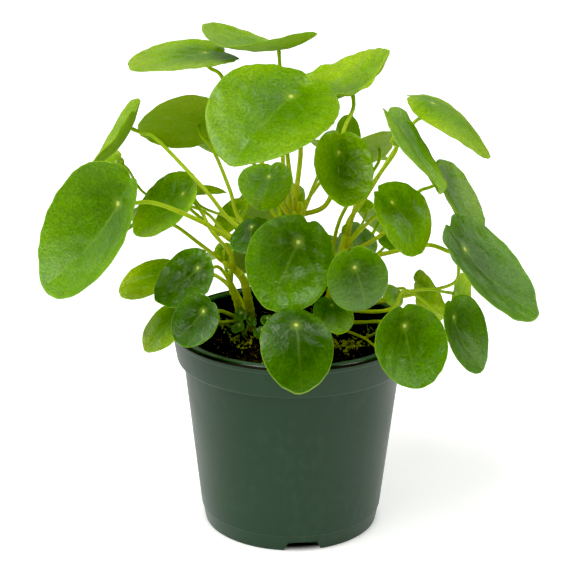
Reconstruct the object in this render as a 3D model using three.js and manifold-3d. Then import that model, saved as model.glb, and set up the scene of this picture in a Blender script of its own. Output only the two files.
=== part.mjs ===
import * as THREE from 'three';
import { mergeVertices } from 'three/addons/utils/BufferGeometryUtils.js';
import Module from 'manifold-3d';

// A pilea with round, coin-shaped leaves, growing in a dark green nursery pot.
// Millimetres, +Z up. The origin is the middle of the pot's base, on the table.
// The camera side of the plant is -Y. Angles are in degrees.

const wasm = await Module();
wasm.setup();

// Pot, driving sizes
const RIM_R = 76.2;
const POT_H = 130;
const WALL = 1.5;
const COLLAR_H = 21.8;
const LIP_BAND_H = 4.4;
const COLLAR_R = 72.7;
const LIP_BAND_R = 75.5;
const BODY_TOP_R = 68.3;
const SEAM_Z = 10.7;
const SEAM_R = 57.4;
const FOOT_R = 55;
const FLOOR_Z = 2.6;
const FLOOR_T = 1.8;
const FOOT_RING_W = 5;
const CENTRE_PAD_R = 14;
const POT_SIDES = 36;

// Drain notches through the foot
const NOTCH_COUNT = 3;
const NOTCH_WIDTH = 23;
const NOTCH_TOP_WIDTH = 18;
const NOTCH_H = 6;
const NOTCH_DEPTH = 12;
const FIRST_NOTCH_AZIMUTH = -82;

// Soil
const SOIL_TOP_Z = 118.5;
const SOIL_SIDES = 28;
const SOIL_BUMP = 1.1;
const SOIL_MOUND = 1.6;
const SOIL_MOUND_SPREAD = 1800;
const SOIL_EDGE_R = 68.9;
const HOLE_DEPTH = 40;
const GAP = 0.3;

// Stems stand in plain holes this deep
const ROOT_Z = 101;
const STEM_SIDES = 8;

// Blades
const BLADE_T = 1.2;
const BLADE_EDGE_T = 0.8;
const HUB_FROM_BASE = 0.27;
const NOTCH_SHARE = 0.05;
const NOTCH_SPREAD = 0.16;
const APEX_SHARE = 0.02;
const APEX_SPREAD = 0.14;
const CREASE_SHARE = 0.06;
const WAVE_SHARE = 0.018;
const WAVE_COUNT = 3;
const WAVE_TURN = 2.4;

// Leaf stalks
const STALK_SIDES = 5;
const STALK_R = 0.85;
const STALK_R_A_LENGTH = 0.0077;
const STALK_FOOT = 1.12;
const STALK_END = 0.82;
const STALK_GAP = 1;
const DISH_DROOP = 0.3;
const STALK_NECK = 2.8;
const STALK_BEND = 9;
const STALK_LEAN = 0.9;
const STEPS_A_SPAN = 2;

const COLOURS = {
  pot: new THREE.Color(0x324b36),
  soil: new THREE.Color(0x14110c),
  stem: new THREE.Color(0x9aa83a),
  leaf: new THREE.Color(0x4c9a1e),
};

const FINISH = {
  pot: [COLOURS.pot, 0.45],
  soil: [COLOURS.soil, 0.95],
  stem: [COLOURS.stem, 0.5],
  leaf: [COLOURS.leaf, 0.42],
};

// Stems: foot on the soil, then points up the stem, and the radius at foot and top
const STEMS = {
  main: { path: [[-2, 14, 122], [0, 11, 150], [3, 8, 205]], radius: [5.2, 3.4] },
  left: {
    path: [[-26, 18, 122], [-28, 14, 140], [-32, 10, 157], [-42, 6, 168]],
    radius: [3.4, 2.3],
  },
  low_left: { path: [[-34, 20, 122], [-34, 8, 138], [-39, 0, 156]], radius: [3.0, 2.2] },
  right: { path: [[20, 20, 122], [26, 14, 150], [33, 8, 184]], radius: [4.4, 3.0] },
};

// Leaves. hub: where the stalk meets the blade. faces: azimuth and elevation that the upper
// side looks towards. turn: the tip's turn from hanging straight down. size: length, width.
// dish: rim above (+) or below (-) the hub. fold: rise of each half from the midrib.
// curl: rise of tip and base against the sides, and twist from one side to the other.
// stem and height: where the stalk leaves. by: points that the stalk passes.
const LEAVES = [
  {
    name: 'leaf_top', hub: [-10, 28, 298], faces: [122, 81], turn: 102, size: [65, 74],
    dish: 0.35, fold: 0.12, curl: [-0.14, -0.18],
    stem: 'main', height: 200, by: [[-3, 8, 206], [-9, 26, 284]],
  },
  {
    name: 'leaf_top_left', hub: [-55, 28, 295], faces: [-57, 85], turn: -84, size: [69, 65],
    dish: 0.01, fold: -0.01, curl: [-0.14, 0.15], stem: 'main', height: 192,
    by: [[-6, 12, 202], [-43, 26, 278], [-47, 29, 283]],
  },
  {
    name: 'leaf_top_centre', hub: [-2, -40, 284], faces: [-84, 62], turn: -39, size: [82, 74],
    dish: -0.2, fold: 0.33, curl: [0.05, 0.07], stem: 'main', height: 203,
    by: [[1, 2, 206], [4, 2, 242]],
  },
  {
    name: 'leaf_top_right', hub: [35, 29, 271], faces: [164, 65], turn: -64, size: [78, 69],
    dish: 0.45, fold: 0.14, curl: [-0.1, 0],
    stem: 'main', height: 198, by: [[20, 6, 206], [30, 9, 252]],
  },
  {
    name: 'leaf_left_upper', hub: [-60, 45, 246], faces: [90, 33], turn: 116, size: [53, 52],
    dish: -0.48, fold: 0.21, stem: 'main', height: 176,
    by: [[-33, 20, 191], [-40, 24, 210], [-51, 34, 233]],
  },
  {
    name: 'leaf_left_edge_on', hub: [-99, 3, 254], faces: [175, 26], turn: -22, size: [59, 55],
    dish: 0.41, fold: 0.13, stem: 'main', height: 178,
    by: [[-35, 6, 192], [-54, 1, 216], [-87, 2, 250]],
  },
  {
    name: 'leaf_left_large', hub: [-103, -40, 219], faces: [-137, 11], turn: -27, size: [88, 70],
    dish: 0.57, fold: 0.19, curl: [-0.14, 0.14], stem: 'main', height: 170,
    by: [[-38, -4, 187], [-57, -14, 201], [-85, -30, 217]],
  },
  {
    name: 'leaf_left_behind', hub: [-112, 40, 223], faces: [-128, 20], turn: -48, size: [22, 21],
    dish: 0, fold: 0, stem: 'main', height: 172,
    by: [[-40, 16, 183], [-56, 22, 196], [-94, 34, 204]],
  },
  {
    name: 'leaf_left_middle', hub: [-68, 12, 210], faces: [-148, 37], turn: -12, size: [51, 49],
    dish: 0.35, fold: 0.08, stem: 'left', height: 162,
    by: [[-39, 0, 176], [-51, -2, 192], [-56, 2, 201]],
  },
  {
    name: 'leaf_left_tiny', hub: [-43, 12, 176], faces: [-90, 50], turn: 0, size: [13, 12],
    dish: 0.1, fold: 0.1, stem: 'left', height: 160, by: [[-40, 11, 171]],
  },
  {
    name: 'leaf_left_small', hub: [-63, 35, 204], faces: [89, 86], turn: -66, size: [29, 28],
    dish: 0, fold: 0.12, stem: 'main', height: 178, by: [[-35, 26, 189]],
  },
  {
    name: 'leaf_inner_left', hub: [-34, 43, 190], faces: [-147, 41], turn: -18, size: [29, 27],
    dish: 0, fold: 0.26, stem: 'main', height: 168, by: [[-22, 36, 181]],
  },
  {
    name: 'leaf_inner_dark', hub: [-25, -20, 199], faces: [-130, 50], turn: 29, size: [28, 27],
    dish: 0.07, fold: 0, stem: 'main', height: 160, by: [[-16, 0, 181]],
  },
  {
    name: 'leaf_centre_small', hub: [-15, -15, 229], faces: [-99, 54], turn: -1, size: [39, 32],
    dish: 0.34, fold: 0.25, curl: [-0.15, -0.21], stem: 'main', height: 185, by: [[-13, 0, 203]],
  },
  {
    name: 'leaf_centre_large', hub: [3, -67, 205], faces: [-96, 9], turn: -23, size: [58, 52],
    dish: -0.01, fold: 0.06, curl: [0.05, 0.37], stem: 'main', height: 140, by: [[4, -30, 181]],
  },
  {
    name: 'leaf_centre_right', hub: [35, -85, 196], faces: [-79, 1], turn: 19, size: [44, 36],
    dish: -0.5, fold: 0.06, stem: 'right', height: 140, by: [[31, -40, 171]],
  },
  {
    name: 'leaf_right_upper', hub: [26, -35, 250], faces: [-68, 28], turn: -15, size: [49, 38],
    dish: 0.47, fold: 0.38, curl: [0.01, -0.1], stem: 'main', height: 195,
    by: [[6, -4, 204], [15, -10, 229]],
  },
  {
    name: 'leaf_right_middle', hub: [57, -50, 224], faces: [-48, 39], turn: 27, size: [47, 41],
    dish: -0.37, fold: 0.24, curl: [-0.02, 0.16], stem: 'right', height: 177,
    by: [[41, -10, 195]],
  },
  {
    name: 'leaf_right_large', hub: [102, -35, 191], faces: [-26, 34], turn: 13, size: [79, 67],
    dish: 0.36, fold: 0.01, curl: [-0.03, -0.05], stem: 'right', height: 166,
    by: [[58, -6, 179], [82, -14, 187]],
  },
  {
    name: 'leaf_right_behind', hub: [93, 22, 217], faces: [-19, 29], turn: -13, size: [55, 53],
    dish: 0.24, fold: 0.18, stem: 'right', height: 172, by: [[54, 5, 187], [77, 15, 212]],
  },
  {
    name: 'leaf_far_right', hub: [84, 15, 268], faces: [-14, 69], turn: 10, size: [62, 61],
    dish: -0.3, fold: -0.11, curl: [-0.19, 0.01], stem: 'right', height: 180,
    by: [[34, 9, 194], [42, 10, 206], [64, 13, 243], [74, 15, 257]],
  },
  {
    name: 'leaf_right_edge_on', hub: [62, -26, 261], faces: [-9, 39], turn: -20, size: [60, 70],
    dish: -0.41, fold: 0.49, curl: [0.39, -0.11], stem: 'right', height: 182,
    by: [[38, 2, 204], [50, -2, 225], [61, -18, 249]],
  },
  {
    name: 'leaf_inner_upper', hub: [33, 46, 235], faces: [42, 3], turn: -178, size: [24, 23],
    dish: 0.24, fold: 0, stem: 'main', height: 200, by: [[18, 27, 217]],
  },
  {
    name: 'leaf_inner_right', hub: [53, 37, 234], faces: [126, 47], turn: 88, size: [50, 48],
    dish: 0, fold: -0.04, stem: 'right', height: 133, by: [[29, 23, 191]],
  },
  {
    name: 'leaf_inner_bud', hub: [46, 28, 197], faces: [-91, 57], turn: -160, size: [12, 11],
    dish: 0, fold: 0, stem: 'right', height: 170, by: [[38, 15, 184]],
  },
  {
    name: 'leaf_inner_low', hub: [43, 31, 181], faces: [-30, 46], turn: -46, size: [25, 24],
    dish: 0, fold: 0.07, stem: 'right', height: 160, by: [[33, 22, 168]],
  },
  {
    name: 'leaf_inner_low_right', hub: [60, 20, 181], faces: [-90, 62], turn: 66, size: [24, 23],
    dish: 0.03, fold: 0.05, stem: 'right', height: 158, by: [[45, 20, 164]],
  },
  {
    name: 'leaf_low_right_thin', hub: [82, 20, 147], faces: [-24, 24], turn: 38, size: [37, 35],
    dish: 0.1, fold: -0.17, stem: 'right', height: 141, by: [[58, 7, 149], [68, 9, 151]],
  },
  {
    name: 'leaf_low_right_pointed', hub: [101, 0, 151], faces: [-20, 0], turn: 45, size: [36, 34],
    dish: 0.24, fold: 0.06, stem: 'right', height: 128,
    by: [[59, 4, 145], [76, 2, 152], [89, 1, 153]],
  },
  {
    name: 'leaf_low_right_outer', hub: [97, -35, 148], faces: [-33, 11], turn: 6, size: [47, 51],
    dish: 0.54, fold: 0.03, curl: [0.01, -0.16], stem: 'right', height: 133,
    by: [[62, -21, 149], [68, -16, 158], [78, -24, 156]],
  },
  {
    name: 'leaf_low_right_front', hub: [65, -75, 157], faces: [-65, 12], turn: 2, size: [48, 47],
    dish: 0.5, fold: 0.02, stem: 'right', height: 126, by: [[40, 6, 129], [53, -14, 137]],
  },
  {
    name: 'leaf_low_right_small', hub: [64, -5, 153], faces: [-36, 44], turn: -77, size: [17, 16],
    dish: -0.15, fold: 0, stem: 'right', height: 130, by: [[57, -2, 148]],
  },
  {
    name: 'leaf_front_right_small', hub: [23, -55, 162], faces: [-66, 57], turn: -6, size: [27, 25],
    dish: -0.16, fold: 0.04, stem: 'right', height: 126, by: [[20, -24, 145]],
  },
  {
    name: 'leaf_front', hub: [2, -95, 164], faces: [-74, 50], turn: -4, size: [48, 43],
    dish: -0.36, fold: -0.11, curl: [-0.2, -0.02], stem: 'main', height: 124, by: [[2, -45, 144]],
  },
  {
    name: 'leaf_low_left', hub: [-57, -30, 176], faces: [-132, 30], turn: -27, size: [41, 38],
    dish: 0.47, fold: -0.15, stem: 'low_left', height: 150, by: [[-41, -6, 163], [-46, -12, 171]],
  },
  {
    name: 'leaf_low_left_behind', hub: [-81, 0, 161], faces: [-124, 69], turn: -60, size: [40, 39],
    dish: -0.31, fold: 0.17, stem: 'low_left', height: 154, by: [[-50, 0, 162], [-66, 2, 160]],
  },
  {
    name: 'leaf_low_left_front', hub: [-52, -65, 161], faces: [-121, 25], turn: -30, size: [33, 32],
    dish: -0.12, fold: 0.29, curl: [0.32, 0.17], stem: 'low_left', height: 127,
    by: [[-44, -25, 147]],
  },
  {
    name: 'leaf_low_left_outer', hub: [-71, -30, 145], faces: [-142, 58], turn: -9, size: [37, 35],
    dish: -0.35, fold: 0.17, stem: 'low_left', height: 125, by: [[-44, -10, 134], [-55, -24, 140]],
  },
  {
    name: 'leaf_back_high', hub: [-5, 75, 246], faces: [100, 60], turn: 0, size: [72, 68],
    dish: -0.25, fold: 0.1, stem: 'main', height: 195, by: [[-4, 35, 228]],
  },
  {
    name: 'leaf_back_high_left', hub: [-39, 79, 234], faces: [105, 58], turn: -18, size: [58, 55],
    dish: -0.2, fold: 0.1, stem: 'main', height: 190, by: [[-22, 38, 218]],
  },
  {
    name: 'leaf_back_high_right', hub: [34, 76, 224], faces: [55, 72], turn: 20, size: [56, 53],
    dish: -0.2, fold: 0.1, stem: 'right', height: 182, by: [[42, 41, 213]],
  },
  {
    name: 'leaf_back_left', hub: [-75, 66, 195], faces: [140, 65], turn: 0, size: [56, 53],
    dish: -0.25, fold: 0.1, stem: 'main', height: 158, by: [[-31, 39, 165]],
  },
  {
    name: 'leaf_back_middle', hub: [-12, 93, 187], faces: [110, 36], turn: 15, size: [56, 53],
    dish: -0.2, fold: 0.1, stem: 'main', height: 155, by: [[-6, 45, 172]],
  },
  {
    name: 'leaf_back_right', hub: [59, 74, 180], faces: [40, 52], turn: 18, size: [56, 53],
    dish: -0.25, fold: 0.1, stem: 'right', height: 150, by: [[46, 40, 168]],
  },
  {
    name: 'leaf_back_low_left', hub: [-48, 86, 148], faces: [125, 62], turn: 40, size: [52, 50],
    dish: -0.2, fold: 0.1, stem: 'left', height: 128, by: [[-40, 51, 139]],
  },
  {
    name: 'leaf_back_low', hub: [16, 98, 150], faces: [75, 25], turn: 15, size: [56, 53],
    dish: -0.25, fold: 0.1, stem: 'main', height: 128, by: [[8, 48, 142]],
  },
  {
    name: 'leaf_back_low_right', hub: [44, 84, 153], faces: [40, 30], turn: 20, size: [44, 42],
    dish: -0.2, fold: 0.1, stem: 'right', height: 130, by: [[42, 46, 142]],
  },
  {
    name: 'leaf_far_left', hub: [-97, 43, 185], faces: [165, 50], turn: 30, size: [48, 46],
    dish: -0.2, fold: 0.1, stem: 'left', height: 160, by: [[-57, 9, 178], [-76, 20, 188]],
  },
  {
    name: 'leaf_far_right_low', hub: [112, 50, 168], faces: [0, 38], turn: 0, size: [48, 46],
    dish: -0.2, fold: 0.1, stem: 'right', height: 132, by: [[86, 46, 136], [106, 48, 143]],
  },
  {
    name: 'leaf_inner_back_left', hub: [-28, 56, 162], faces: [110, 45], turn: -10, size: [40, 38],
    dish: -0.2, fold: 0.1, stem: 'main', height: 130, by: [[-14, 32, 148]],
  },
  {
    name: 'leaf_inner_back_right', hub: [26, 54, 168], faces: [75, 55], turn: 10, size: [42, 40],
    dish: -0.2, fold: 0.1, stem: 'right', height: 145, by: [[30, 30, 160]],
  },
];

// A runner that leaves the right stem at its foot and lies over the soil, with one shoot
const RUNNER = {
  stem: 'right',
  path: [[21, 19], [33, 8], [44, 0], [51, -16]],
  shoot: [[45, -1], [49, 4], [53, 9]],
  radius: [1.2, 0.8],
  rise: 2.4,
};

// Young plantlets round the stems: foot on the soil, and per leaf its hub from the foot,
// the azimuth it leans to and its length
const PUPS = {
  pup_left: {
    foot: [-30, -2],
    leaves: [[[-3, -4, 8], -120, 9], [[3, 1, 10], -50, 8], [[-2, 2, 14], -100, 9]],
  },
  pup_front: {
    foot: [-17, -6],
    leaves: [[[-2, -5, 8], -125, 9], [[4, -3, 7], -50, 8], [[1, 2, 13], -80, 9]],
  },
};
const PUP_STALK_R = 0.9;
const PUP_LEAF_STALK_R = [0.9, 0.8, 0.6];
const PUP_CROWN_H = 2;
const PUP_TILT = 48;

const rad = THREE.MathUtils.degToRad;
const vec = (p) => new THREE.Vector3(...p);

// One closed body from points and triangles, with its shared points merged
function closedGeometry(points, triangles) {
  const flat = new THREE.BufferGeometry();
  flat.setAttribute('position', new THREE.Float32BufferAttribute(points.flatMap((p) => p.toArray()), 3));
  flat.setIndex(triangles.flat());
  return mergeVertices(flat, 1e-4);
}

function solid(geometry) {
  const bare = geometry.clone();
  bare.deleteAttribute('normal');
  bare.deleteAttribute('uv');
  const merged = mergeVertices(bare, 1e-4);
  const vertProperties = new Float32Array(merged.attributes.position.array);
  const triVerts = new Uint32Array(merged.index.array);
  return new wasm.Manifold(new wasm.Mesh({ numProp: 3, vertProperties, triVerts }));
}

function geometryOf(body) {
  const mesh = body.getMesh();
  const geometry = new THREE.BufferGeometry();
  geometry.setAttribute('position', new THREE.BufferAttribute(new Float32Array(mesh.vertProperties), 3));
  geometry.setIndex(new THREE.BufferAttribute(new Uint32Array(mesh.triVerts), 1));
  return geometry;
}

function piece(name, geometry, [color, roughness]) {
  const material = new THREE.MeshStandardMaterial({ color, roughness, metalness: 0 });
  const mesh = new THREE.Mesh(geometry, material);
  mesh.name = name;
  return mesh;
}

// Rings of points joined into a closed skin: the first and last ring are single points
function skin(rings) {
  const points = rings.flat();
  const triangles = [];
  let start = 0;
  for (let i = 0; i + 1 < rings.length; i += 1) {
    const low = rings[i].length;
    const high = rings[i + 1].length;
    const next = start + low;
    const count = Math.max(low, high);
    for (let k = 0; k < count; k += 1) {
      const m = (k + 1) % count;
      if (high > 1) triangles.push([start + (low > 1 ? k : 0), next + m, next + k]);
      if (low > 1) triangles.push([start + k, start + m, next + (high > 1 ? m : 0)]);
    }
    start = next;
  }
  return closedGeometry(points, triangles);
}

// A tapered round limb along a row of points, closed at both ends
function limb(path, radii, sides) {
  const rings = [[path[0].clone()]];
  const tangent = new THREE.Vector3();
  const side = new THREE.Vector3(1, 0, 0);
  path.forEach((point, i) => {
    const before = path[Math.max(i - 1, 0)];
    const after = path[Math.min(i + 1, path.length - 1)];
    tangent.subVectors(after, before).normalize();
    if (i === 0 && Math.abs(tangent.x) > 0.9) side.set(0, 1, 0);
    side.addScaledVector(tangent, -side.dot(tangent)).normalize();
    const across = new THREE.Vector3().crossVectors(tangent, side);
    const ring = [];
    for (let k = 0; k < sides; k += 1) {
      const turn = (2 * Math.PI * k) / sides;
      ring.push(point.clone()
        .addScaledVector(side, radii[i] * Math.cos(turn))
        .addScaledVector(across, radii[i] * Math.sin(turn)));
    }
    rings.push(ring);
  });
  rings.push([path[path.length - 1].clone()]);
  return skin(rings);
}

// Pot: one thin moulded wall, turned round the axis
function potProfile() {
  const collarZ = POT_H - COLLAR_H;
  const bandZ = POT_H - LIP_BAND_H;
  const outside = [
    [FOOT_R, 0], [SEAM_R - 0.5, SEAM_Z - 0.5], [SEAM_R, SEAM_Z], [BODY_TOP_R, collarZ],
    [COLLAR_R - 2.5, collarZ + 0.2], [COLLAR_R - 0.7, collarZ + 2.6], [COLLAR_R, collarZ + 5.6],
    [LIP_BAND_R - 0.5, bandZ - 0.4], [LIP_BAND_R, bandZ], [RIM_R - 0.3, POT_H - 1.4],
    [RIM_R, POT_H - 0.8], [RIM_R - 0.6, POT_H],
  ];
  const inside = [
    [RIM_R - 1.4, POT_H], [RIM_R - 2.1, POT_H - 0.8], [LIP_BAND_R - WALL - 0.4, bandZ],
    [LIP_BAND_R - WALL - 1.6, bandZ - 1.4], [COLLAR_R - WALL - 0.8, collarZ + 4],
    [BODY_TOP_R - WALL, collarZ - 1.2], [SEAM_R - WALL, FLOOR_Z + FLOOR_T + 2],
    [SEAM_R - WALL - 2, FLOOR_Z + FLOOR_T], [0, FLOOR_Z + FLOOR_T],
  ];
  const underside = [
    [0, 0], [CENTRE_PAD_R, 0], [CENTRE_PAD_R + 1, FLOOR_Z],
    [FOOT_R - FOOT_RING_W - 1, FLOOR_Z], [FOOT_R - FOOT_RING_W, 0],
  ];
  return [...underside, ...outside, ...inside].map(([r, z]) => new THREE.Vector2(r, z));
}

// A drain notch: a block, narrower at the top, across the foot at an azimuth
function notchGeometry(azimuth) {
  const outline = new THREE.Shape();
  outline.moveTo(-NOTCH_WIDTH / 2 - 1, -2);
  outline.lineTo(NOTCH_WIDTH / 2 + 1, -2);
  outline.lineTo(NOTCH_TOP_WIDTH / 2, NOTCH_H);
  outline.lineTo(-NOTCH_TOP_WIDTH / 2, NOTCH_H);
  outline.closePath();
  const block = new THREE.ExtrudeGeometry(outline, { depth: NOTCH_DEPTH, bevelEnabled: false });
  block.rotateX(Math.PI / 2);
  block.translate(0, -(FOOT_R - FOOT_RING_W - 1), 0);
  block.rotateZ(rad(azimuth + 90));
  return block;
}

function makePot() {
  const lathe = new THREE.LatheGeometry(potProfile(), POT_SIDES);
  lathe.rotateX(Math.PI / 2);
  let body = solid(lathe);
  for (let i = 0; i < NOTCH_COUNT; i += 1) {
    const azimuth = FIRST_NOTCH_AZIMUTH + (360 * i) / NOTCH_COUNT;
    body = body.subtract(solid(notchGeometry(azimuth)));
  }
  return piece('pot', geometryOf(body), FINISH.pot);
}

// Soil: fills the pot up to its uneven, slightly mounded top
function soilHeight(x, y) {
  const bumps = Math.sin(0.21 * x + 1) * Math.cos(0.17 * y) + 0.6 * Math.sin(0.43 * x - 0.31 * y + 2);
  const mound = SOIL_MOUND * Math.exp(-(x * x + y * y) / SOIL_MOUND_SPREAD);
  return SOIL_TOP_Z + SOIL_BUMP * bumps + mound;
}

function soilRing(radius, height) {
  const ring = [];
  for (let k = 0; k < SOIL_SIDES; k += 1) {
    const turn = (2 * Math.PI * k) / SOIL_SIDES;
    const x = radius * Math.cos(turn);
    const y = radius * Math.sin(turn);
    ring.push(new THREE.Vector3(x, y, height ?? soilHeight(x, y)));
  }
  return ring;
}

function soilHole(x, y, radius) {
  const wide = radius + GAP;
  const hole = new THREE.CylinderGeometry(wide, wide, HOLE_DEPTH, 2 * STEM_SIDES);
  hole.rotateX(Math.PI / 2);
  hole.translate(x, y, ROOT_Z - GAP + HOLE_DEPTH / 2);
  return hole;
}

function makeSoil() {
  const floor = FLOOR_Z + FLOOR_T + GAP;
  const collarZ = POT_H - COLLAR_H;
  const wall = [
    [SEAM_R - WALL - 3.5, floor], [SEAM_R - WALL - 1.2, floor + 4],
    [BODY_TOP_R - WALL - 1.1, collarZ - 2], [SOIL_EDGE_R, collarZ + 5],
  ];
  const rings = [[new THREE.Vector3(0, 0, floor)]];
  wall.forEach(([r, z]) => rings.push(soilRing(r, z)));
  [70, 64, 52, 40, 28, 14].forEach((r) => rings.push(soilRing(r)));
  rings.push([new THREE.Vector3(0, 0, soilHeight(0, 0))]);
  let body = solid(skin(rings));
  Object.values(STEMS).forEach(({ path, radius }) => {
    body = body.subtract(solid(soilHole(path[0][0], path[0][1], radius[0])));
  });
  Object.values(PUPS).forEach(({ foot }) => {
    body = body.subtract(solid(soilHole(foot[0], foot[1], PUP_STALK_R)));
  });
  return piece('soil', geometryOf(body), FINISH.soil);
}

// The blade's own axes: normal out of the upper side, along to the tip, and across
function bladeAxes({ faces: [azimuth, elevation], turn }) {
  const normal = new THREE.Vector3(
    Math.cos(rad(elevation)) * Math.cos(rad(azimuth)),
    Math.cos(rad(elevation)) * Math.sin(rad(azimuth)),
    Math.sin(rad(elevation)),
  );
  const down = new THREE.Vector3(0, 0, -1);
  down.addScaledVector(normal, -down.dot(normal)).normalize();
  const tip = down.clone().applyAxisAngle(normal, rad(turn));
  return { normal, tip, across: new THREE.Vector3().crossVectors(normal, tip) };
}

// Outline of a blade seen from its hub: an ellipse set ahead of the hub, with a small
// notch at the base and a slight point at the tip
function bladeReach(length, width, angle) {
  const a = length / 2;
  const b = width / 2;
  const ahead = (0.5 - HUB_FROM_BASE) * length;
  const u = Math.cos(angle);
  const v = Math.sin(angle);
  const p = (u * u) / (a * a) + (v * v) / (b * b);
  const q = (-2 * u * ahead) / (a * a);
  const c = (ahead * ahead) / (a * a) - 1;
  const reach = (-q + Math.sqrt(q * q - 4 * p * c)) / (2 * p);
  const fromTip = Math.abs(Math.atan2(v, u));
  const notch = (NOTCH_SHARE / HUB_FROM_BASE) * Math.exp(-(((Math.PI - fromTip) / NOTCH_SPREAD) ** 2));
  const apex = APEX_SHARE * Math.exp(-((fromTip / APEX_SPREAD) ** 2));
  return reach * (1 - notch + apex);
}

// Height of the blade over its flat: dish, fold along the midrib, curl and a waved edge
function bladeRise(x, y, share, angle, leaf, index) {
  const { size: [length, width], dish, fold, curl: [saddle, twist] = [0, 0] } = leaf;
  const mean = (length + width) / 4;
  const crease = CREASE_SHARE * mean;
  const bowl = 0.5 * dish * ((x * x + y * y) / mean);
  const halves = fold * (Math.sqrt(y * y + crease * crease) - crease);
  const curled = (0.5 * saddle * (x * x - y * y) + twist * x * y) / mean;
  const wave = WAVE_SHARE * length * share ** 3 * Math.sin(WAVE_COUNT * angle + WAVE_TURN * index);
  return bowl + halves + curled + wave;
}

// How finely a blade is cut: points round its edge, and its rings
function bladeGrain(length) {
  if (length >= 60) return [22, [0.36, 0.72, 1]];
  if (length >= 38) return [18, [0.55, 1]];
  if (length >= 15) return [14, [0.6, 1]];
  return [8, [1]];
}

function bladeGeometry(leaf, index) {
  const [length, width] = leaf.size;
  const { normal, tip, across } = bladeAxes(leaf);
  const [count, shares] = bladeGrain(length);
  const hub = vec(leaf.hub);
  const face = (side) => {
    const rings = [[hub.clone().addScaledVector(normal, (side * BLADE_T) / 2)]];
    shares.forEach((share) => {
      const thick = share === 1 ? BLADE_EDGE_T : BLADE_T;
      const ring = [];
      for (let k = 0; k < count; k += 1) {
        const angle = (2 * Math.PI * k) / count;
        const reach = share * bladeReach(length, width, angle);
        const x = reach * Math.cos(angle);
        const y = reach * Math.sin(angle);
        const rise = bladeRise(x, y, share, angle, leaf, index) + (side * thick) / 2;
        ring.push(hub.clone().addScaledVector(tip, x).addScaledVector(across, y)
          .addScaledVector(normal, rise));
      }
      rings.push(ring);
    });
    return rings;
  };
  return bladeSkin(face(1), face(-1), count);
}

// The two faces are cut alike, so that they stay the same distance apart
function bladeSkin(upper, lower, count) {
  const points = [...upper.flat(), ...lower.flat()];
  const under = upper.flat().length;
  const rim = 1 + (upper.length - 2) * count;
  const triangles = [];
  const both = (a, b, c) => {
    triangles.push([a, b, c], [under + a, under + c, under + b]);
  };
  for (let k = 0; k < count; k += 1) {
    const m = (k + 1) % count;
    both(0, 1 + k, 1 + m);
    for (let r = 0; r + 2 < upper.length; r += 1) {
      const inner = 1 + r * count;
      const outer = inner + count;
      both(inner + k, outer + k, outer + m);
      both(inner + k, outer + m, inner + m);
    }
    triangles.push([rim + k, under + rim + k, under + rim + m], [rim + k, under + rim + m, rim + m]);
  }
  return closedGeometry(points, triangles);
}

// The point on a stem at a height
function onStem(path, height) {
  for (let i = 0; i + 1 < path.length; i += 1) {
    const low = path[i];
    const high = path[i + 1];
    if (height <= high[2]) {
      return vec(low).lerp(vec(high), (height - low[2]) / (high[2] - low[2]));
    }
  }
  return vec(path[path.length - 1]);
}

// A leaf stalk: from its stem past its own points to just under the hub
function stalkGeometry(leaf) {
  const { normal } = bladeAxes(leaf);
  const hub = vec(leaf.hub);
  const lean = vec(leaf.by[leaf.by.length - 1]).sub(hub).normalize().multiplyScalar(STALK_LEAN).sub(normal).normalize();
  const route = [
    onStem(STEMS[leaf.stem].path, leaf.height),
    ...leaf.by.map(vec),
    hub.clone().addScaledVector(lean, STALK_BEND),
    hub.clone().addScaledVector(normal, -STALK_NECK),
  ];
  const curve = new THREE.CatmullRomCurve3(route, false, 'centripetal');
  const path = curve.getPoints(STEPS_A_SPAN * (route.length - 1));
  const thick = STALK_R + leaf.size[0] * STALK_R_A_LENGTH;
  const droop = Math.max(0, -leaf.fold) + DISH_DROOP * Math.max(0, -leaf.dish);
  path.push(hub.clone().addScaledVector(normal, -STALK_GAP - droop * thick));
  const last = path.length - 1;
  const radii = path.map((_, i) => thick * (STALK_FOOT + ((STALK_END - STALK_FOOT) * i) / last));
  return limb(path, radii, STALK_SIDES);
}

// The runner and its shoot, a little above the soil all along
function runnerGeometries() {
  return [RUNNER.path, RUNNER.shoot].map((line) => {
    const points = line.map(([x, y]) => new THREE.Vector3(x, y, soilHeight(x, y) + RUNNER.rise));
    const path = new THREE.CatmullRomCurve3(points, false, 'centripetal').getPoints(6);
    const [foot, end] = RUNNER.radius;
    const radii = path.map((_, i) => foot + ((end - foot) * i) / (path.length - 1));
    return limb(path, radii, STALK_SIDES);
  });
}

// A stem with its leaf stalks grown on it, as one body
function makeStem(name) {
  const { path, radius } = STEMS[name];
  const [x, y] = path[0];
  const route = [[x, y, ROOT_Z], ...path].map(vec);
  const steps = route.length - 1;
  const radii = route.map((_, i) => radius[0] + ((radius[1] - radius[0]) * i) / steps);
  let body = solid(limb(route, radii, STEM_SIDES));
  LEAVES.filter((leaf) => leaf.stem === name).forEach((leaf) => {
    body = body.add(solid(stalkGeometry(leaf)));
  });
  if (name === RUNNER.stem) {
    runnerGeometries().forEach((geometry) => {
      body = body.add(solid(geometry));
    });
  }
  return piece(`stem_${name}`, geometryOf(body), FINISH.stem);
}

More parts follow.
